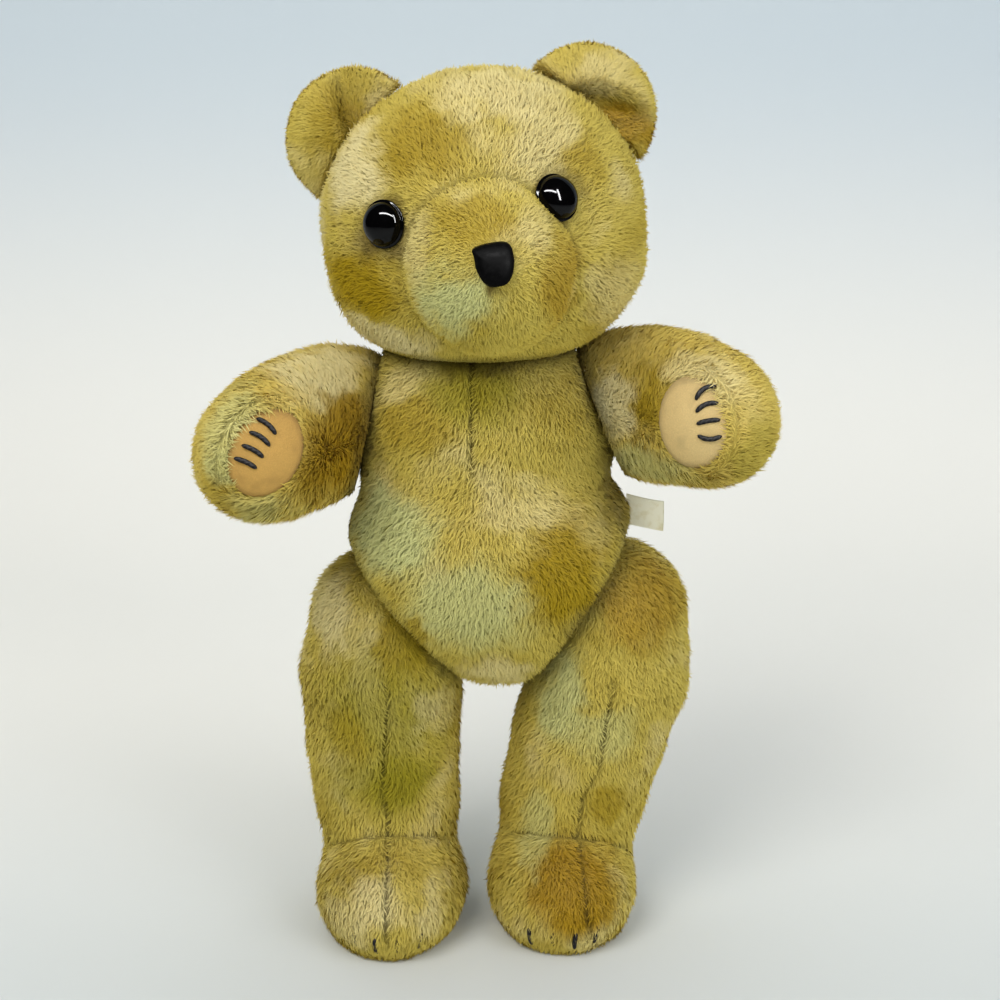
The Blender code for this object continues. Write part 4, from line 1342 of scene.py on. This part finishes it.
LEG_PATCHES = {
    "right": (
        Patch((-80.0, -30.0, 172.0), (20.0, 60.0, 30.0), Tone.CREAM, 0.75),
        Patch((-42.0, -40.0, 158.0), (24.0, 60.0, 26.0), Tone.OCHRE, 0.85),
        Patch((-62.0, -40.0, 150.0), (10.0, 60.0, 26.0), Tone.CREAM, 0.4),
        Patch((-54.0, -40.0, 112.0), (46.0, 60.0, 66.0), Tone.OLIVE, 0.75),
        Patch((-26.0, -40.0, 118.0), (16.0, 60.0, 16.0), Tone.CREAM, 0.35),
        Patch((-74.0, -30.0, 110.0), (16.0, 60.0, 26.0), Tone.OCHRE, 0.45),
        Patch((-44.0, -40.0, 84.0), (24.0, 60.0, 18.0), Tone.OLIVE, 0.8),
        Patch((-66.0, -60.0, 42.0), (20.0, 60.0, 12.0), Tone.OCHRE, 0.5),
        Patch((-58.0, -60.0, 32.0), (20.0, 60.0, 16.0), Tone.CREAM, 0.6),
        Patch((-72.0, -60.0, 20.0), (20.0, 60.0, 14.0), Tone.CREAM, 0.5),
        Patch((-30.0, -60.0, 26.0), (14.0, 60.0, 18.0), Tone.CREAM, 0.5),
    ),
    "left": (
        Patch((76.0, -30.0, 176.0), (32.0, 60.0, 30.0), Tone.RUST, 0.75),
        Patch((34.0, -40.0, 128.0), (18.0, 60.0, 32.0), Tone.PALE, 0.8),
        Patch((56.0, -40.0, 112.0), (26.0, 60.0, 20.0), Tone.PALE, 0.5),
        Patch((60.0, -35.0, 70.0), (20.0, 60.0, 14.0), Tone.OCHRE, 0.75),
        Patch((42.0, -60.0, 34.0), (36.0, 60.0, 32.0), Tone.RUST, 1.0),
        Patch((22.0, -60.0, 60.0), (14.0, 60.0, 24.0), Tone.PALE, 0.6),
    ),
}


# Pieces of the head


@dataclass
class Ears:
    """The two ears: each two layers sewn into a thick flap, folded where it meets the head."""

    head: Head
    angles: dict[str, float] = field(default_factory=lambda: {"right": 42.0, "left": 37.0})
    reach: dict[str, float] = field(default_factory=lambda: {"right": 72.0, "left": 70.0})
    radii: tuple[float, float, float] = (31.0, 10.5, 31.0)
    folds: dict[str, tuple[tuple[float, float, float], float]] = field(
        default_factory=lambda: {"right": ((3.0, -10.0, 13.0), 103.0), "left": ((6.0, -10.0, 3.0), -20.0)}
    )
    fold_radii: tuple[float, float, float] = (21.0, 11.0, 8.0)

    def middle(self, side: str) -> Array:
        """The middle of an ear in the head's own frame."""
        angle = math.radians(self.angles[side])
        sign = -1.0 if side == "right" else 1.0
        return np.array([sign * math.cos(angle), 0.0, math.sin(angle)]) * self.reach[side] + [0.0, 4.0, 0.0]

    def folded(self, side: str, local: Array) -> Array:
        """Points of the head's frame in the fold's own: its length is the first number."""
        place, slant = self.folds[side]
        angle = math.radians(slant)
        c, s = math.cos(angle), math.sin(angle)
        turn = np.array([[c, 0.0, -s], [0.0, 1.0, 0.0], [s, 0.0, c]])
        return (local - self.middle(side) - np.array(place)) @ turn

    def shape(self, side: str) -> Field:
        """Field of an ear: a flat ellipsoid with a fold pressed in, cut off at the head."""
        def far(points: Array) -> Array:
            """Distance from the ear."""
            local = self.head.local(points)
            body = ellipsoid(local, self.middle(side), self.radii)
            fold = ellipsoid(self.folded(side, local), (0.0, 0.0, 0.0), self.fold_radii)
            return most(most(body, -fold, 4.0), 0.6 - self.head.shape(points), 1.0)

        return far

    def crease(self, side: str, points: Array) -> Array:
        """How deep in the fold a point lies, from 0 to 1."""
        local = self.folded(side, self.head.local(points))
        return bell(local[..., 2], 5.0) * bell(local[..., 0], 20.0) * (local[..., 1] < 8.0)

    def build(self, side: str) -> Body:
        """The ear as a body of its own, with its cover and fur."""
        name = f"ear_{side}"
        ear = Body(name=name, carrier="head")
        start = self.head.world(self.middle(side) * 1.10 + np.array([0.0, 5.0, 0.0]))
        ear.form = Form(self.shape(side), [], tuple(start), (1.0, 0.5, 1.0), (0.0, -1.0, 0.0))
        ear.coat = Coat(strands=14000, length=4.6, lift=30.0, salt=91 if side == "right" else 95)
        ear.finish = Plush(name, Tone.BEIGE, EAR_PATCHES[side])
        points, faces = ear.form.shell(44, 66)
        obj = make_object(name + "_plush", points, faces)
        # The fold is stored as the seam value, which the finish darkens: painted shade in the fold.
        set_values(obj, "seam", self.crease(side, points))
        obj.data.materials.append(ear.finish.skin())
        ear.skin = (points, faces, corner_normals(points, faces))
        centre = self.head.world(self.middle(side))
        ear.seams = lambda: [Seam(lambda p: 0.0 * p[..., 0], lambda p: self.crease(side, p))]
        ear.lay = lambda p, n: p - centre + np.array([0.0, 0.0, -6.0])
        ear.bare = lambda p, n: 1.0 * (self.head.shape(p) > 1.4)
        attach(obj, "head")
        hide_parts(name)
        ear.fur([])
        return ear


@dataclass
class Face:
    """The eyes and the nose."""

    head: Head
    dome: float = 6.5
    back: float = 2.0
    nose_thick: float = 6.0

    def eyes(self) -> None:
        """Two domed eyes: a dome on a narrow collar, with its shank behind."""
        finish = Gloss("eye_plastic", (0.0015, 0.0014, 0.0016), 0.05, 0.16, 0.0).material()
        for side, (seat, way) in zip(("right", "left"), self.head.eyes):
            radius = self.head.eye_radius
            turn = np.radians(np.linspace(0.0, 90.0, 22))
            top = np.stack([self.dome * np.cos(turn), (radius - 1.1) * np.sin(turn)], axis=-1)
            top[:, 0] += 0.5
            rim = np.array([
                (0.3, radius - 1.1), (0.15, radius - 0.9), (0.1, radius - 0.3),
                (-0.2, radius), (-0.7, radius),
            ])
            rear = np.array([
                (-1.6, radius * 0.9), (-self.back, radius * 0.8), (-self.back, 2.4),
                (-10.0, 2.4), (-10.0, 0.0),
            ])
            profile = np.vstack([top, rim, rear])[::-1]
            points, faces = turned(seat, way, profile, 64)
            obj = make_object(f"eye_{side}_domed", points, faces)
            obj.data.materials.append(finish)
            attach(obj, "head")
            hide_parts(f"eye_{side}")

    def nose(self) -> None:
        """The nose: a rounded, squarish pad with a flat top, on the end of the snout."""
        head = self.head
        side, out, up = head.world(np.diag([1.0, -1.0, 1.0])) - head.world(np.zeros((1, 3)))
        columns = 64
        share = np.concatenate([np.linspace(0.0, 0.92, 16)[1:], np.full(6, 1.0), [0.9]])
        drop = np.concatenate([np.zeros(15), [0.10, 0.25, 0.45, 0.7, 0.9, 1.0], [1.0]])
        angle = np.linspace(0.0, 2.0 * math.pi, columns, endpoint=False)
        c, s = np.cos(angle), np.sin(angle)
        wide = np.sign(c) * np.abs(c) ** 0.62 * head.nose_half[0]
        high = np.sign(s) * np.abs(s) ** np.where(s > 0, 0.45, 0.85) * head.nose_half[1]
        high = np.where(high > 0, high * 0.95, high)
        wide = wide * (1.0 - 0.22 * (high < 0) * (-high / head.nose_half[1]))
        wide = wide - 1.6 * bell(angle - math.radians(140.0), 0.35)
        rows = len(share)
        flat = (wide[None, :, None] * side + high[None, :, None] * up) * share[:, None, None]
        crown = 1.0 - 0.30 * share**4
        middle = head.world(np.array([[head.nose_at[0], -130.0, head.nose_at[1]]]))[0]
        starts = (middle + flat).reshape(-1, 3)
        seat = head.form.meet(np.vstack([middle[None], starts]), -out)
        lift = self.nose_thick * (crown * (1.0 - drop))
        lift = np.concatenate([[self.nose_thick], np.repeat(lift - 0.4 * drop, columns)])
        top = seat + out * lift[:, None]
        points = np.vstack([top, (seat[0] - out * 0.4)[None]])
        obj = make_object("nose_pad", points, capped(rows, columns)[:, ::-1])
        obj.data.materials.append(Gloss("nose_plastic", (0.0018, 0.0017, 0.0018), 0.4, 0.03, 0.05).material())
        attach(obj, "head")
        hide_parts("nose")


# Pads, claws and label


@dataclass
class Pads:
    """The felt palms and soles."""

    felt_sink: float = 0.6
    felt: float = 2.0
    sole_half: tuple[float, float] = (22.0, 38.0)

    def palm(self, arm: Arm, finish: bpy.types.Material) -> None:
        """A felt palm that follows the arm, a little crowned, its edge turned under."""
        share = np.array([*np.linspace(0.0, 0.94, 14)[1:], 0.975, 1.0, 1.0, 0.97])
        inset = np.array([*np.full(13, self.felt_sink), 0.9, 1.5, 2.2, self.felt_sink + self.felt])
        crown = -0.9 * (1.0 - share**3)
        columns = 72
        angle = np.linspace(0.0, 2.0 * math.pi, columns, endpoint=False)
        wide, high = np.cos(angle) * arm.palm_half[0], np.sin(angle) * arm.palm_half[1]
        flat = (wide[None, :, None] * arm.along + high[None, :, None] * arm.up) * share[:, None, None]
        start = np.array(arm.palm[0]) + arm.face * 30.0
        starts = np.vstack([start[None], (start + flat).reshape(-1, 3)])
        inset = np.concatenate([[self.felt_sink - 0.9], np.repeat(inset + crown, columns)])
        top = arm.form.meet(starts, -arm.face, inset)
        end = arm.form.meet(start[None], -arm.face, self.felt_sink + self.felt)
        points = np.vstack([top, end])
        obj = make_object(f"palm_{arm.side}_felt", points, capped(len(share), columns))
        radius = arm.on_pad(points)[2]
        set_values(obj, "seam", ramp(radius, 0.82, 1.0))
        obj.data.materials.append(finish)
        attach(obj, arm.name)
        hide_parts(f"palm_{arm.side}")
        self.declare(arm.palm_half)

    def sole(self, leg: Leg, finish: bpy.types.Material) -> None:
        """A felt sole, flat where the bear stands on it, its edge rounded."""
        profile = np.array([
            (-2.6, 0.0), (-2.6, 0.97), (-2.2, 1.0), (-0.5, 1.0),
            (-0.15, 0.985), (0.0, 0.96), (0.0, 0.5), (0.0, 0.0),
        ])
        middle = np.array([leg.foot.centre[0], leg.foot.centre[1], 0.0])
        down, across_foot = np.array([0.0, 0.0, -1.0]), np.array([1.0, 0.0, 0.0])
        points, faces = turned(middle, down, profile, 72, across_foot, self.sole_half)
        obj = make_object(f"sole_{leg.side}_felt", points, faces)
        radius = np.linalg.norm((points - middle)[:, :2] / np.array(self.sole_half), axis=1)
        set_values(obj, "seam", 0.6 * ramp(radius, 0.7, 1.0))
        obj.data.materials.append(finish)
        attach(obj, leg.name)
        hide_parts(f"sole_{leg.side}")
        self.declare(self.sole_half)

    def declare(self, half: tuple[float, float]) -> None:
        """Works out a pad's oval width, height and area from its half sizes; nothing keeps them."""
        wide, high = (2 * h * MM for h in half)
        area = wide * high * math.pi / 4


@dataclass
class Claws:
    """Thread claws: each follows the line of its solid, twisted and thinned at both ends."""

    radius: float = 1.15
    rings: int = 6
    sides: int = 5

    def line(self, node: str, along: Array) -> Array:
        """The middle line of a claw's solid, from the middles of its rings."""
        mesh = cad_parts[node].data
        points, _ = read_mesh(mesh)
        points = np.unique(np.round(points, 3), axis=0)
        order = np.argsort(points @ along)
        rings = points[order].reshape(self.rings, self.sides, 3).mean(axis=1)
        fine = np.linspace(0.0, self.rings - 1.0, 27)
        return np.stack([np.interp(fine, np.arange(self.rings), rings[:, k]) for k in range(3)], axis=-1)

    def stitch(self, node: str, along: Array, lean: Array, body: str, finish: bpy.types.Material) -> None:
        """One claw."""
        line = self.line(node, along)
        soft = np.pad(line, ((4, 4), (0, 0)), mode="reflect", reflect_type="odd")
        line = np.mean([soft[i : i + len(line)] for i in range(9)], axis=0)
        share = np.linspace(-1.0, 1.0, len(line))
        radius = self.radius * np.sqrt(np.maximum(1.0 - np.abs(share) ** 5, 0.02))
        points, faces = swept(line, radius, lean, 12)
        obj = make_object(node + "_thread", points, faces)
        turn = np.repeat(share, 12) * 14.0 + np.tile(np.arange(12) * math.pi / 6, len(line)) * 2.0
        set_values(obj, "twist", np.concatenate([[0.5], 0.5 + 0.5 * np.sin(turn), [0.5]]))
        obj.data.materials.append(finish)
        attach(obj, body)
        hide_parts(node)

    def build(self, arms: list[Arm], legs: list[Leg]) -> None:
        """All sixteen claws."""
        finish = Thread().material()
        for arm in arms:
            for i in range(1, 5):
                self.stitch(f"claw_{arm.side}_{i}", arm.along, arm.face, arm.name, finish)
        along, lean = np.array([0.0, -0.35, 0.94]), np.array([0.0, -1.0, 0.0])
        for leg in legs:
            for i in range(1, 5):
                self.stitch(f"toe_{leg.side}_{i}", along, lean, leg.name, finish)


@dataclass
class Label:
    """The bare cloth label in the side seam, which droops and curls a little."""

    rows: int = 24
    columns: int = 20
    thick: float = 0.4

    def build(self) -> None:
        """Two curved faces between the label solid's corners, joined round the edge.

        Formula: the point between the four corners by two shares, moved by a curl that grows
        with the square of the share outwards.
        """
        points, _ = read_mesh(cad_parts["label"].data)
        points = np.unique(np.round(points, 2), axis=0)
        order = np.argsort(points[:, 0])
        inner, outer = points[order[:4]], points[order[4:]]
        low = [group[np.argsort(group[:, 2])] for group in (inner, outer)]
        corners = [group[:2].mean(axis=0) for group in low], [group[2:].mean(axis=0) for group in low]
        u, v = np.meshgrid(np.linspace(0, 1, self.rows), np.linspace(0, 1, self.columns), indexing="ij")
        u, v = u[..., None], v[..., None]
        (a, b), (c, d) = corners
        flat = (a * (1 - u) + b * u) * (1 - v) + (c * (1 - u) + d * u) * v
        way = unit(np.cross(b - a, c - a))
        flat = flat + way * (1.4 * np.sin(u * 3.0) * (0.4 + v) + 0.7 * np.sin(v * 3.1) * u)
        top, bottom = flat + way * self.thick / 2, flat - way * self.thick / 2
        count = self.rows * self.columns
        face = grid_faces(self.rows, self.columns, closed=False)
        number = np.arange(count).reshape(self.rows, self.columns)
        edge = np.concatenate([number[0], number[1:, -1], number[-1, -2::-1], number[-2:0:-1, 0]])
        following = np.roll(edge, -1)
        sides = np.vstack([
            np.stack([edge, edge + count, following + count], axis=-1),
            np.stack([edge, following + count, following], axis=-1),
        ])
        faces = np.vstack([face[:, ::-1], face + count, sides[:, ::-1]])
        obj = make_object("label_cloth", np.vstack([top.reshape(-1, 3), bottom.reshape(-1, 3)]), faces)
        obj.data.materials.append(Weave().material())
        size = (float(np.linalg.norm(c - a)) * MM, float(np.linalg.norm(b - a)) * MM)
        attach(obj, "torso")
        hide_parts("label")


# Studio


@dataclass
class Studio:
    """Floor, backdrop, lamps and camera."""

    eye: tuple[float, float, float] = (0.0052, -0.8307, 0.47)
    pitch: float = 16.27
    lens: float = 63.75

    def camera(self) -> None:
        """The camera, where the photograph's was."""
        data = bpy.data.cameras.new("camera")
        data.lens, data.sensor_width = self.lens, 36.0
        obj = bpy.data.objects.new("camera", data)
        obj.location = self.eye
        obj.rotation_euler = (math.radians(90.0 - self.pitch), 0.0, 0.0)
        bpy.context.scene.collection.objects.link(obj)
        bpy.context.scene.camera = obj

    def lamp(
        self,
        name: str,
        place: tuple[float, float, float],
        size: tuple[float, float],
        power: float,
        colour: tuple[float, float, float] = (1.0, 1.0, 1.0),
        glint: bool = False,
    ) -> None:
        """A soft lamp that faces the bear's middle; one for glints shows in gloss and lights nothing."""
        data = bpy.data.lights.new(name, "AREA")
        data.shape = "RECTANGLE"
        data.size, data.size_y = size
        data.energy, data.color = power, colour
        obj = bpy.data.objects.new(name, data)
        obj.visible_glossy, obj.visible_diffuse = glint, not glint
        obj.location = place
        way = np.array([0.0, 0.0, 0.2]) - np.array(place)
        flat = math.hypot(way[0], way[1])
        obj.rotation_euler = (math.atan2(flat, -way[2]), 0.0, math.atan2(-way[0], way[1]))
        bpy.context.scene.collection.objects.link(obj)

    def backdrop(self) -> None:
        """A floor that curves up into the wall behind: a profile carried sideways."""
        turn = np.linspace(0.0, math.pi / 2, 24)
        run = np.concatenate([[-2500.0], 500.0 + 500.0 * np.sin(turn), [1000.0]])
        rise = np.concatenate([[0.0], 500.0 - 500.0 * np.cos(turn), [2600.0]])
        sides = np.linspace(-2500.0, 2500.0, 9)
        points = np.stack(np.broadcast_arrays(sides[None, :], run[:, None], rise[:, None]), axis=-1)
        faces = grid_faces(len(run), len(sides), closed=False)
        obj = make_object("floor", points.reshape(-1, 3), faces[:, ::-1])
        recipe = Recipe("paper")
        place = recipe.place()
        depth, height = (recipe.node("SeparateXYZ", None, {0: place}, axis) for axis in (1, 2))
        # The floor runs from darker in front to lighter behind the bear, where its shadow falls: painted
        # light.
        floor = recipe.mix((0.63, 0.66, 0.64), (0.93, 0.91, 0.84), recipe.spread(depth, -0.15, 0.35))
        shade = recipe.mix(floor, (0.60, 0.68, 0.73), recipe.spread(height, 0.0, 0.45))
        obj.data.materials.append(recipe.done(shade, 0.9))

    def build(self) -> None:
        """The whole studio."""
        self.camera()
        self.backdrop()
        self.lamp("key", (-0.7, -1.1, 1.5), (1.0, 1.0), 17.5, (1.0, 0.97, 0.92))
        self.lamp("fill", (1.1, -1.0, 0.8), (1.2, 1.2), 10.0, (0.95, 0.97, 1.0))
        self.lamp("top", (0.0, 0.4, 1.7), (1.4, 1.4), 4.5, (1.0, 0.98, 0.95))
        self.lamp("strip", (-0.2, -1.0, 1.5), (2.0, 0.16), 90.0, glint=True)
        self.lamp("slit", (0.9, -1.0, 1.1), (0.16, 1.0), 45.0, glint=True)
        world = bpy.data.worlds.new("room")
        world.use_nodes = True
        ground = world.node_tree.nodes["Background"]
        ground.inputs["Color"].default_value = (0.86, 0.90, 0.95, 1.0)
        ground.inputs["Strength"].default_value = 0.45
        bpy.context.scene.world = world
        world.cycles_visibility.glossy = False
        bpy.context.scene.view_settings.view_transform = "Standard"


def dress_hardware() -> None:
    """Moulded plastic on the joint discs, washers and lock rings."""
    finish = Gloss("joint_plastic", (0.70, 0.69, 0.64), 0.38, 0.5, 0.03).material()
    for name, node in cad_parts.items():
        if name.endswith(("_disc", "_washer", "_lock")):
            node.data.materials.clear()
            node.data.materials.append(finish)


def main() -> None:
    """Builds the bear's pieces in order, then the studio, and logs the face counts of each filled body."""
    torso, head = Torso(), Head()
    arms = [Arm(), Arm(**ARM_LEFT)]
    legs = [Leg(), Leg(**LEG_LEFT)]
    bodies = [torso, head, *arms, *legs]
    for body in bodies:
        cover = body.cover()
        near = [other.form.distance for other in bodies if other is not body]
        fur = body.fur(near)
        counts = len(cover.data.polygons), len(fur.data.polygons)
        LOG.info("%s: %d faces, fur %d triangles", body.name, *counts)
    ears = Ears(head)
    for side in ("right", "left"):
        ears.build(side)
    face = Face(head)
    face.eyes()
    face.nose()
    pads, felt = Pads(), Felt().material()
    for arm, finish in zip(arms, (Felt("felt_peach", (0.53, 0.31, 0.075)).material(), felt)):
        pads.palm(arm, finish)
    for leg in legs:
        pads.sole(leg, felt)
    Claws().build(arms, legs)
    Label().build()
    dress_hardware()
    Studio().build()


if __name__ == "__main__":
    main()
